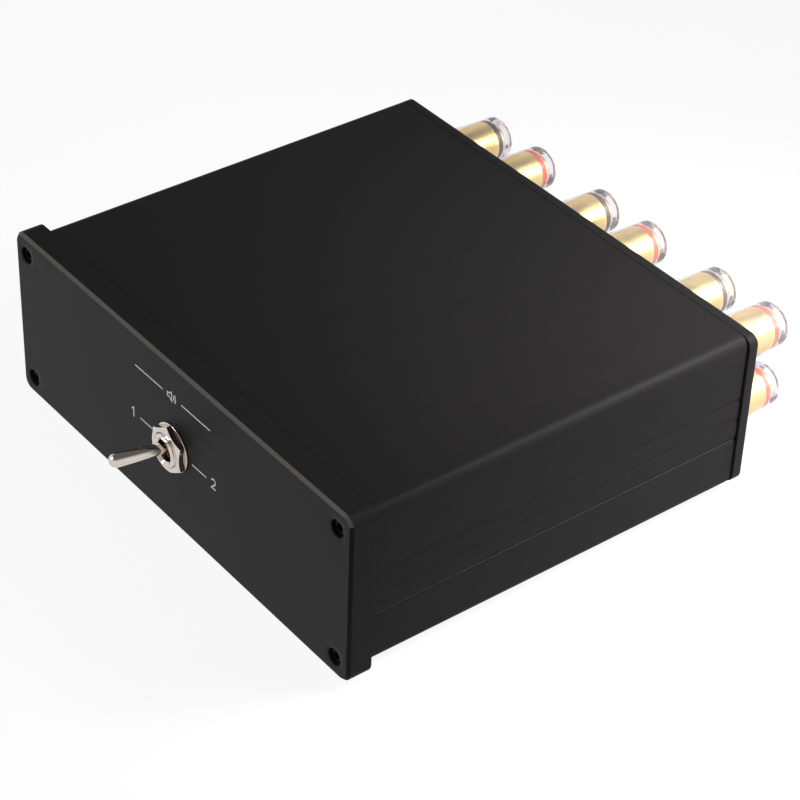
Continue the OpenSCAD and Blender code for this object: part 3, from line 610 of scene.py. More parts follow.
def rubbed(material, colour, metallic=None):
    """Shows another colour on the faces marked for it: plating that wears through to brass on the toggle, and
    painted highlights on the front panel's upper chamfer and the case's lip. Where the metal is dulled there,
    metallic is what the shader's value goes to."""
    tree = material.node_tree
    shader = tree.nodes["Principled BSDF"]
    sound = shader.inputs["Base Color"].links[0].from_socket
    where = add(tree, "ShaderNodeAttribute", {"attribute_name": "rubbed"})
    shown = add(tree, "ShaderNodeMix", {"data_type": "RGBA"}, {7: (*colour, 1)},
                {0: where.outputs["Fac"], 6: sound})
    tree.links.new(shown.outputs[2], shader.inputs["Base Color"])
    if metallic is not None:
        dulled = add(tree, "ShaderNodeMapRange", links={"Value": where.outputs["Fac"]}, values={
            "To Min": shader.inputs["Metallic"].default_value, "To Max": metallic})
        tree.links.new(dulled.outputs["Result"], shader.inputs["Metallic"])
    return material


def of_faces(mesh, name):
    """The centres or normals of a mesh's faces, as one array."""
    values = np.empty((len(mesh.polygons), 3), np.float32)
    mesh.polygons.foreach_get(name, values.ravel())
    return values


def mark_wear_and_highlight(mesh, faces):
    """Marks the faces where rubbed() shows its colour: faces holds true or false for each."""
    # The mark holds real wear, brass through the toggle's plating, and painted highlights on the front
    # panel's upper chamfer and the case's lip.
    marks = mesh.attributes.new("rubbed", "FLOAT", "FACE")
    marks.data.foreach_set("value", faces.astype(np.float32))


BLASTED = [0.45 * MM] * 3  # grain of the plates
DIE_LINES = (0.5 * MM, 45 * MM, 0.5 * MM)  # grain of the extruded shells, drawn out along Y


def anodised(name, colour, grain, roughness, gloss):
    """Black anodised aluminium: a dyed oxide skin over a fine matt grain.

    The eye sees a near-black with a soft broad sheen. The blasted grain is about 0.1 mm and is drawn coarser,
    so that it shows.
    """
    values = {"IOR": 1.6, "Specular IOR Level": gloss}
    return finish(name, values, colour, 0.1, roughness, swing=0.14, grain=grain, relief=0.012 * MM)


def panel_material():
    """Bead-blasted plates: the same grain in every direction, and a painted highlight along the top: the
    upward-facing chamfer there takes a paler colour.
    """
    c = look().case
    material = anodised("Black anodised aluminium, blasted", c.panel_colour, BLASTED, 0.42, gloss=0.05)
    # Painted highlight: the paler colour on the upper chamfer stands in for the light that it catches.
    return rubbed(material, c.chamfer_highlight_colour)


def edge_material():
    """Milled edges and the rear plate: the same skin over a plainer cut, which shines less than the blasted
    face."""
    colour = look().case.case_colour
    return anodised("Black anodised aluminium, milled", colour, BLASTED, 0.48, gloss=0.02)


def case_material():
    """Extruded shells: die lines run along the case, and the upward-facing lip of the lower shell at the seam
    is painted paler, a painted highlight for the light line there.
    """
    c = look().case
    material = anodised("Black anodised aluminium, extruded", c.case_colour, DIE_LINES, 0.48, gloss=0.02)
    # Painted highlight: the paler colour on the lip stands in for the light line at the seam.
    return rubbed(material, c.lip_highlight_colour)


def plated(name, colour, roughness, grain):
    """Bright plating over turned brass: mirror-like, with a faint cloud from polishing."""
    values = {"Metallic": 1.0}
    return finish(name, values, colour, 0.05, roughness, swing=0.25, grain=[grain] * 3, relief=0.002 * MM)


def moulded(name, colour, roughness, values=(), grain=0.6 * MM):
    """Moulded plastic or rubber: one colour with a fine sparked texture from the tool."""
    values = {"IOR": 1.5, **dict(values)}
    return finish(name, values, colour, 0.1, roughness, swing=0.15, grain=[grain] * 3, relief=0.008 * MM)


def acrylic(name, colour, roughness):
    """Clear polished acrylic: faint flow marks run along it, and the faint violet-grey of its mass shows
    where a line of sight runs far through it. Its usual IOR of 1.49 is lowered to match the object, whose
    gold core fills most of the cap."""
    values = {"IOR": 1.22, "Transmission Weight": 0.93}
    flow = (3 * MM, 9 * MM, 3 * MM)
    material = finish(name, values, linear("#ece7ee"), 0, roughness, swing=0.4, grain=flow, relief=0)
    tree = material.node_tree
    mass = add(tree, "ShaderNodeVolumeAbsorption", values={
        "Color": (*colour, 1), "Density": look().posts.density})
    tree.links.new(mass.outputs["Volume"], tree.get_output_node("ALL").inputs["Volume"])
    return material


def ink_material():
    """Silk-screen ink: a flat white film whose cover varies with the mesh that it was pressed through."""
    return moulded("White silk-screen ink", look().case.ink_colour, 0.6, grain=0.25 * MM)


def dress(material, slot, *nodes):
    """Gives solids that stay as they are their material. The slot is not used."""
    for name in nodes:
        solid = frame["nodes"][name]
        for holder in solid.material_slots:
            holder.material = material


# Pieces

EASED = 0.3  # share of a small radius at the middle of its arc, about 1 - cos 45 degrees
SIDES = (-1, 1)


def screw_reach():
    """Distances of the screws from the front panel's middle, across and up."""
    s = look().screws
    return FRONT_HIGH[0] - s.side_edge, FRONT_HIGH[2] - Z_MID - s.end_edge


def screw_places():
    """Corner positions of the screws as (x, z)."""
    across, up = screw_reach()
    return [(x * across, Z_MID + z * up) for x in SIDES for z in SIDES]


def screw_cells(columns, rows, rise, steps):
    """Holes of the screws in a plate's four corner cells; rise is how far the screws' middle lies over the
    plate's."""
    across, up = screw_reach()
    ends = [((0, -1), (len(lines) - 2, 1)) for lines in (columns, rows)]
    return {(i, j): (np.array([x * across, rise + z * up]), steps) for i, x in ends[0] for j, z in ends[1]}


def post_centres():
    """Where each post's middle line meets the rear panel's face."""
    return [np.array([place[0], Y_REAR, place[2]]) for place in POST_PLACES]


def counterbore(depth, seat):
    """Steps of a screw's hole from the face: a rounded mouth, the counterbore to its seat, then the plain
    hole."""
    s = look().screws
    lip = 0.12 * MM
    return [(s.bore + lip, 0), (s.bore + lip * EASED, lip * EASED), (s.bore, lip), (s.bore, seat),
            (s.hole, seat), (s.hole, depth)]


class SELECTOR_OT_front_panel(bpy.types.Operator):
    """Make the front panel with its counterbored screw holes"""
    bl_idname = "selector.front_panel"
    bl_label = "Front panel"

    def execute(self, context):
        c, s = look().case, look().screws
        size = (FRONT_HIGH - FRONT_LOW)[[0, 2]]
        depth = Y_CASE - Y_FRONT
        across, up = screw_reach()
        edge, depth_end = c.front_chamfer, depth - c.back_edge
        rim = [(0, 0), (edge, edge), (edge, depth_end), (edge - c.back_edge, depth), (0, depth)]
        middle, toggle_hole, steps = 6 * MM, 4.95 * MM, 18

        def lines(hole, reach):
            """Lines at both sides of the end holes and of the toggle's hole."""
            marks = [-hole - reach, -hole + reach, -middle, middle, hole - reach, hole + reach]
            return list(zip(marks, [steps, 2, steps, 2, steps, 0]))

        columns, rows = lines(across, s.side_edge - edge), lines(up, s.end_edge - edge)
        cells = screw_cells(columns, rows, 0, counterbore(depth, s.sink + s.head_height))
        cells[2, 2] = (np.zeros(2), [(toggle_hole, 0), (toggle_hole, depth)])
        place = standing(Y_FRONT, Z_MID)
        patches = plate(size, depth, c.front_corner, edge, rim, columns, rows, cells, place)
        made = piece("front_plate", patches, panel_material(), "box", ["front_panel"]).data
        facing = of_faces(made, "normal")
        # Painted highlight: the upward-facing chamfer gets the paler colour; the other chamfers and the edges
        # take the milled finish.
        chamfer, near, upward = -math.sqrt(0.5), 0.1, 0.2
        highlit_chamfer = (np.abs(facing[:, 1] - chamfer) < near) & (facing[:, 2] > upward)
        mark_wear_and_highlight(made, highlit_chamfer)
        made.materials.append(edge_material())
        edges = (facing[:, 1] > chamfer - near) & ~highlit_chamfer
        made.polygons.foreach_set("material_index", edges.astype(np.int32))
        return {"FINISHED"}


class SELECTOR_OT_case(bpy.types.Operator):
    """Make the upper and lower shells of the case"""
    bl_idname = "selector.case"
    bl_label = "Case shells"

    def execute(self, context):
        material = case_material()
        for name, node, loops in (
            ("upper_shell", "case_top", self.upper_loops()),
            ("lower_shell", "case_bottom", self.lower_loops()),
        ):
            patches = extruded(loops, Y_CASE, Y_CASE_END, 0.12 * MM)
            made = piece(name, patches, material, "box", [node]).data
            # Painted highlight on the lower shell's upward-facing lip.
            mark_wear_and_highlight(made, self.painted_lip_highlight(of_faces(made, "center"), of_faces(made, "normal")))
        return {"FINISHED"}

    def painted_lip_highlight(self, centre, facing):
        """Whether a face lies on the lower shell's lip at the seam, outside, and faces up: the faces that get
        the painted highlight.
        """
        height, width, upward = 0.35 * MM, 0.7 * MM, 0.25
        high = np.abs(centre[:, 2] - LOWER_HIGH[2]) < height
        outside = np.abs(centre[:, 0]) > CASE_W / 2 - width
        return high & outside & (facing[:, 2] > upward)

    def bores(self, side):
        """Round bores of the two screw channels on the upper (1) or lower (-1) side."""
        across, up = screw_reach()
        bore = circle(look().case.channel_bore, 24)
        return [bore + (x * across, Z_MID + side * up) for x in SIDES]

    def channel(self, side):
        """Inner outline of the right-hand screw channel, from the flat wall round to the side wall.

        It is the arc of the channel's circle between the inner faces of the two walls.
        """
        c = look().case
        across, up = screw_reach()
        centre = np.array([across, Z_MID + side * up])
        inner_x = CASE_W / 2 - c.wall
        inner_z = UPPER_HIGH[2] - c.wall if side > 0 else LOWER_LOW[2] + c.wall
        at_flat = side * math.asin(abs(inner_z - centre[1]) / c.channel)
        at_wall = math.acos((inner_x - centre[0]) / c.channel)
        first, last = math.pi - at_flat, math.pi + side * (math.pi - at_wall)
        return centre + arc(c.channel, np.linspace(first, last, 14))

    def upper_loops(self):
        """The upper shell's outline: outside with half a V at the seam and two V grooves a side, then the
        lap, the walls and the channels."""
        c = look().case
        half, seam, top = CASE_W / 2, UPPER_LOW[2] + c.lap, UPPER_HIGH[2]
        lip, soft = 0.06 * MM, 0.15 * MM
        inner, lap_x = half - c.wall, half - c.wall / 2 - c.lap_clear
        right = [(lap_x, seam), (half - c.groove_depth, seam, lip), (half, seam + c.groove_width / 2, soft)]
        for i in (1, 2):
            z = seam + i * c.groove_step
            right += [(half, z - c.groove_width / 2, soft), (half - c.groove_depth, z, lip),
                      (half, z + c.groove_width / 2, soft)]
        right += [(half, top, c.case_edge)]
        outside = rounded(right + mirrored(right), steps=10)
        channel = self.channel(1)
        opposite = channel * (-1, 1)
        inside_left = [(-lap_x, seam - c.lap), (-inner, seam - c.lap)]
        inside_right = [(inner, seam - c.lap), (lap_x, seam - c.lap)]
        loop = np.concatenate([outside, inside_left, opposite[::-1], channel, inside_right])
        return [loop] + self.bores(1)

    def lower_loops(self):
        """The lower shell's outline: floor and side walls, thinned where the upper shell laps over them."""
        c = look().case
        half, top, floor = CASE_W / 2, LOWER_HIGH[2], LOWER_LOW[2]
        seam = UPPER_LOW[2] + c.lap
        lip, soft = 0.3 * MM, 0.15 * MM
        shelf = seam - c.lap - c.lap_clear
        inner, lap_x = half - c.wall, half - c.wall / 2
        at_top = half - c.groove_depth * (1 - (seam - top) / (c.groove_width / 2))
        right = [(half, floor, c.case_edge), (half, seam - c.groove_width / 2, soft), (at_top, top, lip),
                 (lap_x, top)]
        outside = rounded(mirrored(right) + right, steps=10)
        channel = self.channel(-1)
        opposite = channel * (-1, 1)
        inside_right = [(lap_x, shelf), (inner, shelf)]
        inside_left = [(-inner, shelf), (-lap_x, shelf)]
        loop = np.concatenate([outside, inside_right, channel[::-1], opposite, inside_left])
        return [loop] + self.bores(-1)


class SELECTOR_OT_rear_panel(bpy.types.Operator):
    """Make the rear panel with its post holes and the pad that sets it off the case"""
    bl_idname = "selector.rear_panel"
    bl_label = "Rear panel"

    def execute(self, context):
        c, s, posts = look().case, look().screws, look().posts
        size = (REAR_HIGH - REAR_LOW)[[0, 2]]
        depth = Y_REAR - Y_CASE_END - c.pad
        across, up = screw_reach()
        rise = Z_MID - Z_CASE_MID
        half = size / 2 - c.rear_edge
        post_x = sorted({round(p[0], 6) for p in POST_PLACES})
        post_z = sorted({round(p[2] - Z_CASE_MID, 6) for p in POST_PLACES})
        cell = 6 * MM

        def lines(screws, inner, end):
            """Lines at both sides of the two screws' holes and of each post hole."""
            marks = [-end, 2 * screws[0] + end]
            for centre in inner:
                marks += [centre - cell, centre + cell]
            marks += [2 * screws[1] - end, end]
            return list(zip(marks, [16, 1] + [12, 1] * len(inner) + [16, 0]))

        columns = lines((-across, across), post_x, half[0])
        rows = lines((rise - up, rise + up), post_z, half[1])
        cells = screw_cells(columns, rows, rise, counterbore(depth, s.head_height - s.proud))
        lip = 0.15 * MM
        wall = [(posts.hole_radius + lip, 0), (posts.hole_radius, lip), (posts.hole_radius, depth)]
        for i, x in enumerate(post_x):
            for j, z in enumerate(post_z):
                cells[2 + 2 * i, 2 + 2 * j] = (np.array([x, z]), wall)

        quarter = np.linspace(0, math.pi / 2, 6)
        rim = list(zip(c.rear_edge * np.sin(quarter), c.rear_edge * (1 - np.cos(quarter))))
        rim += [(c.rear_edge, depth - c.back_edge), (c.rear_edge - c.back_edge, depth), (0, depth)]
        place = standing(Y_REAR, Z_CASE_MID, -1)
        patches = plate(size, depth, c.rear_corner, c.rear_edge, rim, columns, rows, cells, place)
        pad = np.array([CASE_W, UPPER_HIGH[2] - LOWER_LOW[2]]) / 2 - c.pad_inset
        corners = [(x * pad[0], Z_CASE_MID + z * pad[1], c.rear_corner)
                   for x, z in ((-1, -1), (1, -1), (1, 1), (-1, 1))]
        holes = [circle(posts.hole_radius, 24) + (p[0], p[2]) for p in POST_PLACES]
        holes += [circle(s.hole, 24) + corner for corner in screw_places()]
        loops = [rounded(corners, closed=True)] + holes
        patches += extruded(loops, Y_CASE_END, Y_CASE_END + c.pad, 0.01 * MM)
        piece("rear_plate", patches, edge_material(), "box", ["rear_panel"])
        return {"FINISHED"}


class SELECTOR_OT_screws(bpy.types.Operator):
    """Make the socket-head screws of both panels"""
    bl_idname = "selector.screws"
    bl_label = "Panel screws"

    def execute(self, context):
        s = look().screws
        socket = hexagon(s.socket)
        floor, mouth = socket * 0.9, socket * 1.08
        soft, drill_point = 0.25 * MM, 0.35 * MM
        top = -s.head_height
        rows = [
            (0, top + s.socket_depth + drill_point), (floor, top + s.socket_depth),
            (socket, top + soft * 0.6), (mouth, top), (s.head - soft, top),
            (s.head - soft * EASED, top + soft * EASED), (s.head, top + soft), (s.head, 0), (s.shank, 0),
            (s.shank, s.shank_length - soft), (s.shank - soft, s.shank_length), (0, s.shank_length)]
        about = np.diag([-1, -1, 1])
        front = Y_FRONT + s.sink + s.head_height
        rear = Y_REAR + s.proud - s.head_height
        patches = [turned(rows, (x, front, z)) for x, z in screw_places()]
        patches += [turned(rows, (x, rear, z), turn=about) for x, z in screw_places()]
        material = plated("Black oxide steel", s.colour, 0.42, 0.4 * MM)
        piece("socket_screws", patches, material, "box", ["panel_screws"])
        return {"FINISHED"}


class SELECTOR_OT_feet(bpy.types.Operator):
    """Make the rubber feet under the case"""
    bl_idname = "selector.feet"
    bl_label = "Feet"

    def execute(self, context):
        low, high = box("feet")
        top, tip, height = 6 * MM, 5 * MM, Z_CASE
        outline = rounded([(0, 0), (tip, 0, 0.8 * MM), (top, height), (0, height)])
        upright = Matrix.Rotation(math.pi / 2, 3, "X")
        patches = [
            turned(outline, (x, y, 0), turn=upright)
            for x in (low[0] + top, high[0] - top) for y in (low[1] + top, high[1] - top)]
        rubber = moulded("Moulded rubber", look().screws.rubber_colour, 0.75, {"Specular IOR Level": 0.3})
        piece("rubber_feet", patches, rubber, "box", ["feet"])
        return {"FINISHED"}


class SELECTOR_OT_toggle(bpy.types.Operator):
    """Make the outside of the toggle switch: lever, nut, washer and bushing"""
    bl_idname = "selector.toggle"
    bl_label = "Toggle switch"

    def execute(self, context):
        t = look().toggle
        nickel = rubbed(plated("Bright nickel plating", t.nickel_colour, 0.1, 1.5 * MM), t.brass_colour, 0.3)
        axis = np.array([0, 0, Z_MID])
        for name, node, body, patches in (
            ("bat_lever", "toggle_lever", "lever", [self.lever()]),
            ("panel_nut", "toggle_nut", "box", [self.nut(axis)]),
            ("flat_washer", "toggle_washer", "box", [self.washer(axis)]),
            ("threaded_bushing", "toggle_bushing", "box", [self.bushing(axis)]),
        ):
            made = piece(name, patches, nickel, body, [node]).data
            near = np.linalg.norm(of_faces(made, "center") - PIVOT, axis=1)
            mark_wear_and_highlight(made, near < t.rubbed_reach)
        return {"FINISHED"}

    def lever(self):
        """The lever, turned: a tapered bat with a round tip, the pivot ball, and the inner arm with its
        ball."""
        t = look().toggle

        def ball(middle, radius, start, end, steps):
            """Rows on a ball, from one latitude to another."""
            return list(arc(radius, np.radians(np.linspace(start, end, steps))) + (0, middle))

        def meet(neck, radius):
            """Latitude at which a ball is as wide as its neck."""
            return math.degrees(math.acos(neck / radius))

        neck = t.root * 1.08
        rows = ball(-t.lever_length + t.tip, t.tip, -90, 0, 14)
        rows += ball(0, t.ball, -meet(neck, t.ball), meet(t.arm_radius, t.ball), 28)
        rows += ball(t.arm, t.arm_tip, -meet(t.arm_radius, t.arm_tip), 90, 16)
        rows[0] = (0, rows[0][1])
        rows[-1] = (0, rows[-1][1])
        return turned(rows, PIVOT, 64, Matrix.Rotation(-t.tilt, 3, "Z"))

    def nut(self, axis):
        """The panel nut: a hexagon whose outer corners are cut by a 28 degree cone."""
        t = look().toggle
        front, back = NUT_LOW[1], NUT_HIGH[1]
        flats = hexagon(t.nut_flat)
        face = t.nut_flat * 0.95
        bore, mouth, soft = t.bushing + 0.05 * MM, 0.3 * MM, 0.15 * MM
        cone, cone_start = face + 0.1 * MM, front + 0.03 * MM
        rise = math.tan(math.radians(28))
        rows = [(bore, back), (bore, front + mouth), (bore + mouth, front), (face, front), (cone, cone_start)]
        for share in (0.35, 0.7, 1.0):
            out = (flats - cone) * share
            rows.append((cone + out, cone_start + out * rise))
        rows += [(flats, back - soft), (flats - soft, back), (bore, back)]
        return turned(rows, axis)

    def washer(self, axis):
        """The washer: a flat ring with rounded edges."""
        outer, bore = (WASHER_HIGH[0] - WASHER_LOW[0]) / 2, look().toggle.bushing + 0.2 * MM
        front, back, soft = WASHER_LOW[1], WASHER_HIGH[1], 0.15 * MM
        corners = [(bore, back), (bore, front), (outer, front, soft), (outer, back, soft)]
        return turned(looped(rounded(corners, closed=True, steps=4)), axis)

    def bushing(self, axis):
        """The bushing: a thread outside, a flared mouth and a ball seat inside.

        The thread's radius falls by its depth in a triangle wave of distance / pitch - angle / full turn.
        """
        t = look().toggle
        front, back = BUSHING_LOW[1], BUSHING_HIGH[1]
        thread_end = back - t.flange_height
        steps = 96
        angles = np.linspace(0, 1, steps, endpoint=False)
        rows = [(t.seat, back), (t.flange, back), (t.flange, thread_end)]
        chamfer = 0.35 * MM
        for y in np.arange(thread_end, front + chamfer, -t.thread_pitch / 8):
            wave = np.abs(((y - front) / t.thread_pitch - angles) % 1 * 2 - 1)
            rows.append((t.bushing - t.thread_depth * wave, y))
        root = t.bushing - t.thread_depth
        rows += [(root, front + chamfer), (root - chamfer, front)]
        rows += [(t.mouth + t.flare, front), (t.mouth, front + t.flare)]
        narrow = t.ball - 0.3 * MM
        rows += list(arc(t.seat, np.linspace(-math.acos(narrow / t.seat), 0, 8)) + (0, PIVOT[1]))
        rows.append((t.seat, back))
        return turned(rows, axis, steps)


class SELECTOR_OT_post_caps(bpy.types.Operator):
    """Make the clear caps of the posts with their gold cores and marking rings"""
    bl_idname = "selector.post_caps"
    bl_label = "Post caps"

    def execute(self, context):
        p = look().posts
        clear = acrylic("Clear polished acrylic", p.clear_colour, 0.08)
        gold = plated("Gold plating", p.gold_colour, 0.42, 4 * MM)
        red = moulded("Red moulded plastic", p.red_colour, 0.3)
        black = moulded("Black moulded plastic", p.black_colour, 0.3)
        sleeve, core, ring = [looped(outline) for outline in (self.sleeve(), self.core(), self.ring())]
        for k, centre in enumerate(post_centres(), 1):
            colour, slot = (red, "ring_red") if is_red(k) else (black, "ring_black")
            for name, node, outline, material, body, finish_slot in (
                ("clear_cap", "cap_sleeve", sleeve, clear, "cap", "cap_clear"),
                ("gold_core", "cap_core", core, gold, "cap", "post_gold"),
                ("marking_ring", "cap_ring", ring, colour, "ring", slot),
            ):
                patches = [turned(outline, centre)]
                piece(f"{name}_{k}", patches, material, f"{body}_{k}", [f"{node}_{k}"])
        return {"FINISHED"}

    def sleeve(self):
        """Outline of a cap: a tapered wall with a rounded end, a plug hole, and a bore that steps in for the
        nose."""
        p = look().posts
        bore, nose_bore = p.core_radius - p.seat, p.nose_radius - p.seat
        end_wall = p.cap_out - p.cap_end_wall
        step = p.nose_start + p.ring_width - p.seat
        recess = p.flange_radius + p.flange_gap
        soft = 0.3 * MM
        return rounded([
            (recess, p.cap_rim, soft * 0.5), (p.cap_rim_radius, p.cap_rim, soft),
            (p.cap_end_radius, p.cap_out, p.cap_round), (p.cap_hole, p.cap_out, soft),
            (p.cap_hole, end_wall, soft * 0.5), (nose_bore, end_wall, soft * 0.5), (nose_bore, step),
            (bore, step), (bore, p.core_start), (recess, p.core_start, soft * 0.5),
        ], closed=True, steps=8)

    def core(self):
        """Outline of a core: a plain barrel with a narrower nose, both with eased edges."""
        p = look().posts
        bore, soft = p.stem_radius + p.core_run, 0.25 * MM
        return rounded([
            (bore, p.core_start), (p.core_radius, p.core_start, soft), (p.core_radius, p.nose_start),
            (p.nose_radius, p.nose_start), (p.nose_radius, p.stem_out, soft), (bore, p.stem_out, soft * 0.5),
        ], closed=True, steps=4)

    def ring(self):
        """Outline of a marking ring."""
        p = look().posts
        inner, start = p.nose_radius + p.core_run, p.nose_start + p.core_run
        end, soft = p.nose_start + p.ring_width, 0.12 * MM
        return rounded([
            (inner, start), (p.core_radius, start, soft), (p.core_radius, end, soft), (inner, end),
        ], closed=True, steps=3)


class SELECTOR_OT_post_stems(bpy.types.Operator):
    """Make the stems of the posts and the collars that insulate them"""
    bl_idname = "selector.post_stems"
    bl_label = "Post stems and collars"

    def execute(self, context):
        p = look().posts
        gold = plated("Gold-plated brass", p.gold_colour, 0.3, 2 * MM)
        milky = moulded("Milky moulded plastic", p.collar_colour, 0.35, {"Transmission Weight": 0.3})
        for name, node, outline, material, slot in (
            ("plug_stems", "post_stems", self.stem(), gold, "post_gold"),
            ("collars", "post_collars", looped(self.collar()), milky, "collar_plastic"),
        ):
            piece(name, [turned(outline, c) for c in post_centres()], material, "box", [node])
        return {"FINISHED"}

    def stem(self):
        """A stem: threaded rod inside, a flange on the collar, and the blind plug socket in its outer end."""
        p = look().posts
        r, soft = p.stem_radius, 0.25 * MM
        top = p.collar_height + p.flange_height
        floor = p.stem_out - p.socket_depth
        return rounded([
            (0, -p.stem_in), (r, -p.stem_in, soft), (r, p.collar_height),
            (p.flange_radius, p.collar_height, soft), (p.flange_radius, top, soft), (r, top),
            (r, p.stem_out, soft), (p.socket_radius, p.stem_out, soft), (p.socket_radius, floor, soft),
            (0, floor),
        ], steps=4)

    def collar(self):
        """Outline of a collar: a disc on the panel with a spigot in the panel's hole."""
        p = look().posts
        bore, soft = p.stem_radius + p.core_run, 0.4 * MM
        return rounded([
            (bore, -p.spigot_length), (p.spigot_radius, -p.spigot_length), (p.spigot_radius, 0),
            (p.collar_radius, 0), (p.collar_radius, p.collar_height, soft), (bore, p.collar_height),
        ], closed=True, steps=5)


class SELECTOR_OT_marks(bpy.types.Operator):
    """Print the front panel's white marks: position numbers, ticks and a sounder sign between two lines"""
    bl_idname = "selector.marks"
    bl_label = "Printed marks"

    def execute(self, context):
        height = 0.015 * MM
        thin, bold = 0.42 * MM, 0.5 * MM
        row, heading = -0.3 * MM, 15.9 * MM
        place = standing(Y_FRONT - height / 2, Z_MID)

        def line(points, width=thin, closed=False, centre=(0, 0)):
            """A printed line through points in millimetres from its centre."""
            return stroke(np.array(points) * MM + centre, width, height, place, closed)

        patches = []
        for start, end in ((-15.4, -9.3), (8.6, 15.0)):
            patches += line([(start, 0), (end, 0)], centre=(0, row))
        patches += line([(-0.75, 0.85), (0.1, 1.5), (0.1, -1.5)], bold, centre=(-18.6 * MM, row))
        bow = arc(0.85, np.radians(np.linspace(165, -35, 12))) + (0, 0.65)
        patches += line([*bow, (-0.9, -1.5), (0.95, -1.5)], bold, centre=(18.2 * MM, row))
        for side in SIDES:
            patches += line([(side * 4.2, 0), (side * 17, 0)], centre=(0, heading))
        horn = [(-1.7, 0.55), (-0.9, 0.55), (0.2, 1.4), (0.2, -1.4), (-0.9, -0.55), (-1.7, -0.55)]
        sign = (-0.4 * MM, heading)
        patches += line(horn, closed=True, centre=sign)
        for radius in (1.1, 1.9):
            wave = arc(radius, np.radians(np.linspace(-42, 42, 9))) + (0.1, 0)
            patches += line(wave, centre=sign)
        piece("printed_marks", patches, ink_material(), "box")
        return {"FINISHED"}


class SELECTOR_OT_inside(bpy.types.Operator):
    """Make the leads and springs, and give the other pieces inside the case their materials"""
    bl_idname = "selector.inside"
    bl_label = "Inside pieces"

    def execute(self, context):
        inside, posts = look().inside, look().posts
        steel = plated("Zinc-plated steel", inside.steel_colour, 0.35, 1 * MM)
        silver = plated("Silver-plated brass", inside.silver_colour, 0.3, 1 * MM)
        gold = plated("Gold-plated contacts", posts.gold_colour, 0.3, 1 * MM)
        dress(steel, "switch_steel", "toggle_frame")
        dress(silver, "switch_contact", "toggle_terminals", "toggle_rockers")
        dress(gold, "post_gold", "toggle_plungers", "post_tabs", "post_nuts")
        for name, colour, roughness, slot, node in (
            ("Moulded phenolic", inside.phenolic_colour, 0.5, "switch_plastic", "toggle_housing"),
            ("White moulded nylon", inside.nylon_colour, 0.55, "carriage_plastic", "toggle_carriage"),
            ("Black moulded nylon", inside.insulator_colour, 0.55, "insulator_plastic", "post_insulators"),
        ):
            dress(moulded(name, colour, roughness), slot, node)
        self.springs(steel)
        for red, word, colour in ((True, "red", inside.red_colour), (False, "black", inside.black_colour)):
            vinyl = moulded(f"{word.capitalize()} vinyl", colour, 0.45)
            self.leads(f"{word}_leads", f"wires_{word}", f"wire_{word}", vinyl, red)
        return {"FINISHED"}

    def springs(self, steel):
        """Contact springs: a helix about Y, x = r cos a, z = r sin a, rising evenly over three curls."""
        inside = look().inside
        low, high = box("toggle_springs")
        poles, curls = 4, 3
        middle = (low[0] + high[0]) / 2
        rim = inside.spring_radius + inside.spring_wire
        a = np.linspace(0, TAU * curls, 24 * curls + 1)
        x = middle + inside.spring_radius * np.cos(a)
        y = np.linspace(low[1] + inside.spring_wire, high[1] - inside.spring_wire, len(a))
        patches = []
        for z in np.linspace(low[2] + rim, high[2] - rim, poles):
            path = np.stack([x, y, z + inside.spring_radius * np.sin(a)], axis=-1)
            patches.append(swept(path, inside.spring_wire, 8))
        piece("contact_springs", patches, steel, "carriage", ["toggle_springs"])

    def leads(self, name, node, slot, material, red):
        """Leads from the solder tabs to the switch's terminals.

        Each eases from its start to its end: x and z follow 3 t^2 - 2 t^3 while y runs evenly.
        """
        tabs, terminals = box("post_tabs"), box("toggle_terminals")
        gap = 0.05 * MM
        start_y, end_y = tabs[0][1] - gap, terminals[1][1] + gap
        t = np.linspace(0, 1, 40)[:, None]
        ease = 3 * t ** 2 - 2 * t ** 3
        patches = []
        for k, post in enumerate(POST_PLACES, 1):
            if is_red(k) != red:
                continue
            start, end = self.lead_ends(k, post, start_y, end_y)
            path = start + (end - start) * np.concatenate([ease, t, ease], axis=1)
            patches.append(swept(path, look().inside.lead_radius))
        piece(name, patches, material, "box", [node])

    def lead_ends(self, k, post, start_y, end_y):
        """Start of lead k at its post's tab, and end at its pole of the switch."""
        arm, pole_pitch, throw = 5.6 * MM, 7 * MM, 4.2 * MM
        column, upper = (k - 1) % ROW, k <= ROW
        pole = column % 2 if upper else 3 - column % 2
        start = np.array([post[0], start_y, post[2] + (-arm if upper else arm)])
        return start, np.array([(column // 2 - 1) * throw, end_y, Z_MID + (1.5 - pole) * pole_pitch])


# Stage

def seen_ray(tree):
    """1 for rays from the camera, off gloss and through clear plastic, and 0 for the light on the box."""
    rays = add(tree, "ShaderNodeLightPath")
    seen = rays.outputs["Is Camera Ray"]
    for kind in ("Is Transmission Ray", "Is Glossy Ray"):
        links = {0: seen, 1: rays.outputs[kind]}
        seen = add(tree, "ShaderNodeMath", {"operation": "MAXIMUM"}, links=links).outputs[0]
    return seen


def floor_material():
    """Painted floor: pale and matt. Seen by the camera it is close to the white backdrop and keeps the
    object's shadow."""
    s = look().stage
    material = bpy.data.materials.new("Pale painted floor")
    tree = emptied(material)
    coat = add(tree, "ShaderNodeBsdfDiffuse", values={"Color": (*s.floor_colour, 1)})
    white = add(tree, "ShaderNodeEmission", values={"Color": (1, 1, 1, 1), "Strength": 1.0})
    seen = add(tree, "ShaderNodeMath", {"operation": "MULTIPLY"}, {1: s.floor_glow}, {0: seen_ray(tree)})
    both = add(tree, "ShaderNodeMixShader", links={
        0: seen.outputs[0], 1: coat.outputs[0], 2: white.outputs[0]})
    add(tree, "ShaderNodeOutputMaterial", links={"Surface": both.outputs[0]})
    return material


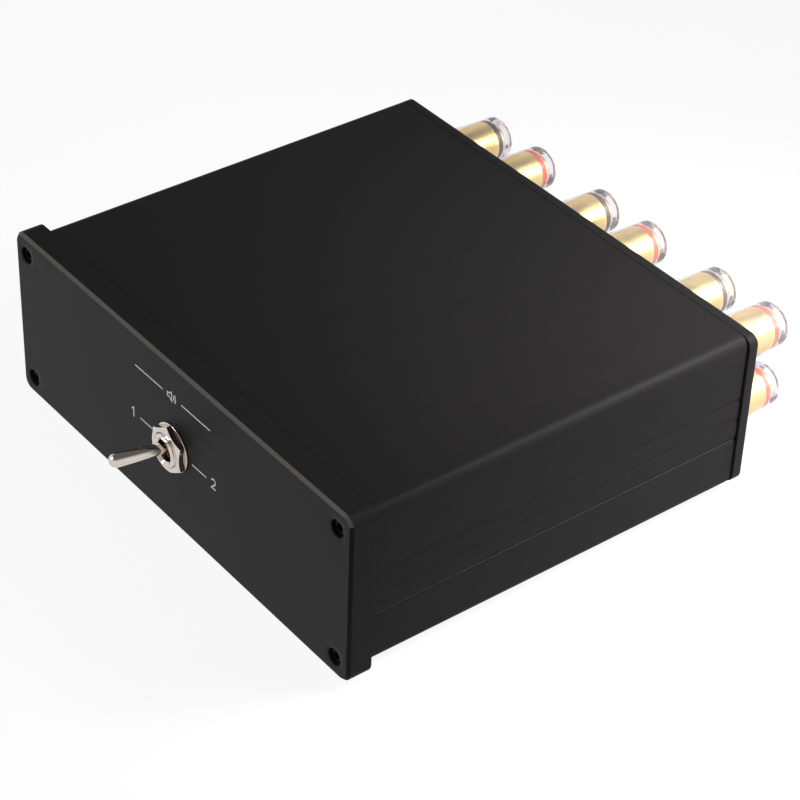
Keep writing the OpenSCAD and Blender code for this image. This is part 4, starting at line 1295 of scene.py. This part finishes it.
class SELECTOR_OT_stage(bpy.types.Operator):
    """Set the camera, the soft light and the pale floor"""
    bl_idname = "selector.stage"
    bl_label = "Stage"

    def execute(self, context):
        scene = context.scene
        scene.view_settings.view_transform = "Standard"
        self.camera(scene)
        self.floor(scene)
        self.sky(scene)
        s = look().stage
        middle, corner = (0, 0, Z_MID), (CASE_W / 2, Y_REAR, Z_MID)
        for name, position, size, spread, target, watts in (
            ("side_softbox", (0.25, 0.2, 0.14), (0.16, 0.14), 180, middle, s.key),
            ("front_softbox", (-0.45, -0.72, 0.55), (0.4, 0.4), 180, middle, s.fill),
            ("rear_softbox", (0.15, 0.16, 0.22), (0.12, 0.12), 80, corner, s.rim),
        ):
            self.softbox(scene, name, position, size, spread, target, watts)
        return {"FINISHED"}

    def camera(self, scene):
        """A camera that looks at the aim from its bearing and height, rolled about its own axis."""
        s = look().stage
        a, e = s.azimuth, s.elevation
        back = Vector((math.sin(a) * math.cos(e), -math.cos(a) * math.cos(e), math.sin(e)))
        level = Vector((math.cos(a), math.sin(a), 0))
        upright = back.cross(level)
        right = level * math.cos(s.roll) + upright * math.sin(s.roll)
        up = upright * math.cos(s.roll) - level * math.sin(s.roll)
        data = bpy.data.cameras.new("photo_camera")
        data.sensor_width = SENSOR / MM
        data.lens = data.sensor_width * s.focal_pixels / IMAGE_PIXELS
        data.clip_start = 0.01
        camera = bpy.data.objects.new("photo_camera", data)
        scene.collection.objects.link(camera)
        turn = Matrix((right, up, back)).transposed().to_4x4()
        camera.matrix_world = Matrix.Translation(Vector(s.aim) + back * s.distance) @ turn
        scene.camera = camera

    def floor(self, scene):
        """A square floor at the height of the feet."""
        reach = 4.0
        mesh = bpy.data.meshes.new("floor")
        corners = [(-reach, -reach, 0), (reach, -reach, 0), (reach, reach, 0), (-reach, reach, 0)]
        mesh.from_pydata(corners, [], [(0, 1, 2, 3)])
        mesh.materials.append(floor_material())
        floor = bpy.data.objects.new("floor", mesh)
        scene.collection.objects.link(floor)

    def sky(self, scene):
        """Where it is seen, a white backdrop that passes into a grey ceiling high up, and where it lights,
        one even softer strength."""
        world = bpy.data.worlds.new("studio")
        scene.world = world
        tree = emptied(world)
        s = look().stage
        white_to, grey_from = 0.25, 0.75  # sines of a line of sight's angle over the horizon
        place = add(tree, "ShaderNodeTexCoord")
        facing = add(tree, "ShaderNodeSeparateXYZ", links={"Vector": place.outputs["Generated"]})
        backdrop = add(tree, "ShaderNodeMapRange", links={"Value": facing.outputs["Z"]}, values={
            "From Min": white_to, "From Max": grey_from, "To Min": 1.0, "To Max": s.ceiling})
        strength = add(tree, "ShaderNodeMapRange", values={"To Min": s.sky},
                       links={"Value": seen_ray(tree), "To Max": backdrop.outputs["Result"]})
        light = add(tree, "ShaderNodeBackground", values={"Color": (1, 1, 1, 1)},
                    links={"Strength": strength.outputs["Result"]})
        add(tree, "ShaderNodeOutputWorld", links={"Surface": light.outputs["Background"]})

    def softbox(self, scene, name, position, size, spread, target, watts):
        """An area light of that width and height that faces target. A spread below 180 degrees is a honeycomb
        grid in front of it."""
        data = bpy.data.lights.new(name, "AREA")
        data.shape = "RECTANGLE"
        data.size, data.size_y = size
        data.energy = watts
        data.spread = math.radians(spread)
        lamp = bpy.data.objects.new(name, data)
        scene.collection.objects.link(lamp)
        place = Vector(position)
        turn = (place - Vector(target)).to_track_quat("Z", "Y").to_matrix().to_4x4()
        lamp.matrix_world = Matrix.Translation(place) @ turn


class SELECTOR_PT_pieces(bpy.types.Panel):
    """Lists the pieces that can be made"""
    bl_idname = "SELECTOR_PT_pieces"
    bl_label = "Selector box"
    bl_space_type = "VIEW_3D"
    bl_region_type = "UI"
    bl_category = "Selector"

    def draw(self, context):
        for maker in MAKERS:
            self.layout.operator(maker.bl_idname)


MAKERS = (
    SELECTOR_OT_stage, SELECTOR_OT_front_panel, SELECTOR_OT_case, SELECTOR_OT_rear_panel, SELECTOR_OT_screws,
    SELECTOR_OT_feet, SELECTOR_OT_toggle, SELECTOR_OT_post_caps, SELECTOR_OT_post_stems, SELECTOR_OT_marks,
    SELECTOR_OT_inside,
)
GROUPS = (CaseLook, ScrewLook, ToggleLook, PostLook, InsideLook, StageLook, SelectorLook)


def register():
    for kind in (*GROUPS, *MAKERS, SELECTOR_PT_pieces):
        bpy.utils.register_class(kind)
    bpy.types.Scene.selector = PointerProperty(type=SelectorLook)


def unregister():
    del bpy.types.Scene.selector
    for kind in reversed((*GROUPS, *MAKERS, SELECTOR_PT_pieces)):
        bpy.utils.unregister_class(kind)


def main():
    register()
    for maker in MAKERS:
        group, name = maker.bl_idname.split(".")
        getattr(getattr(bpy.ops, group), name)()


if __name__ == "__main__":
    main()
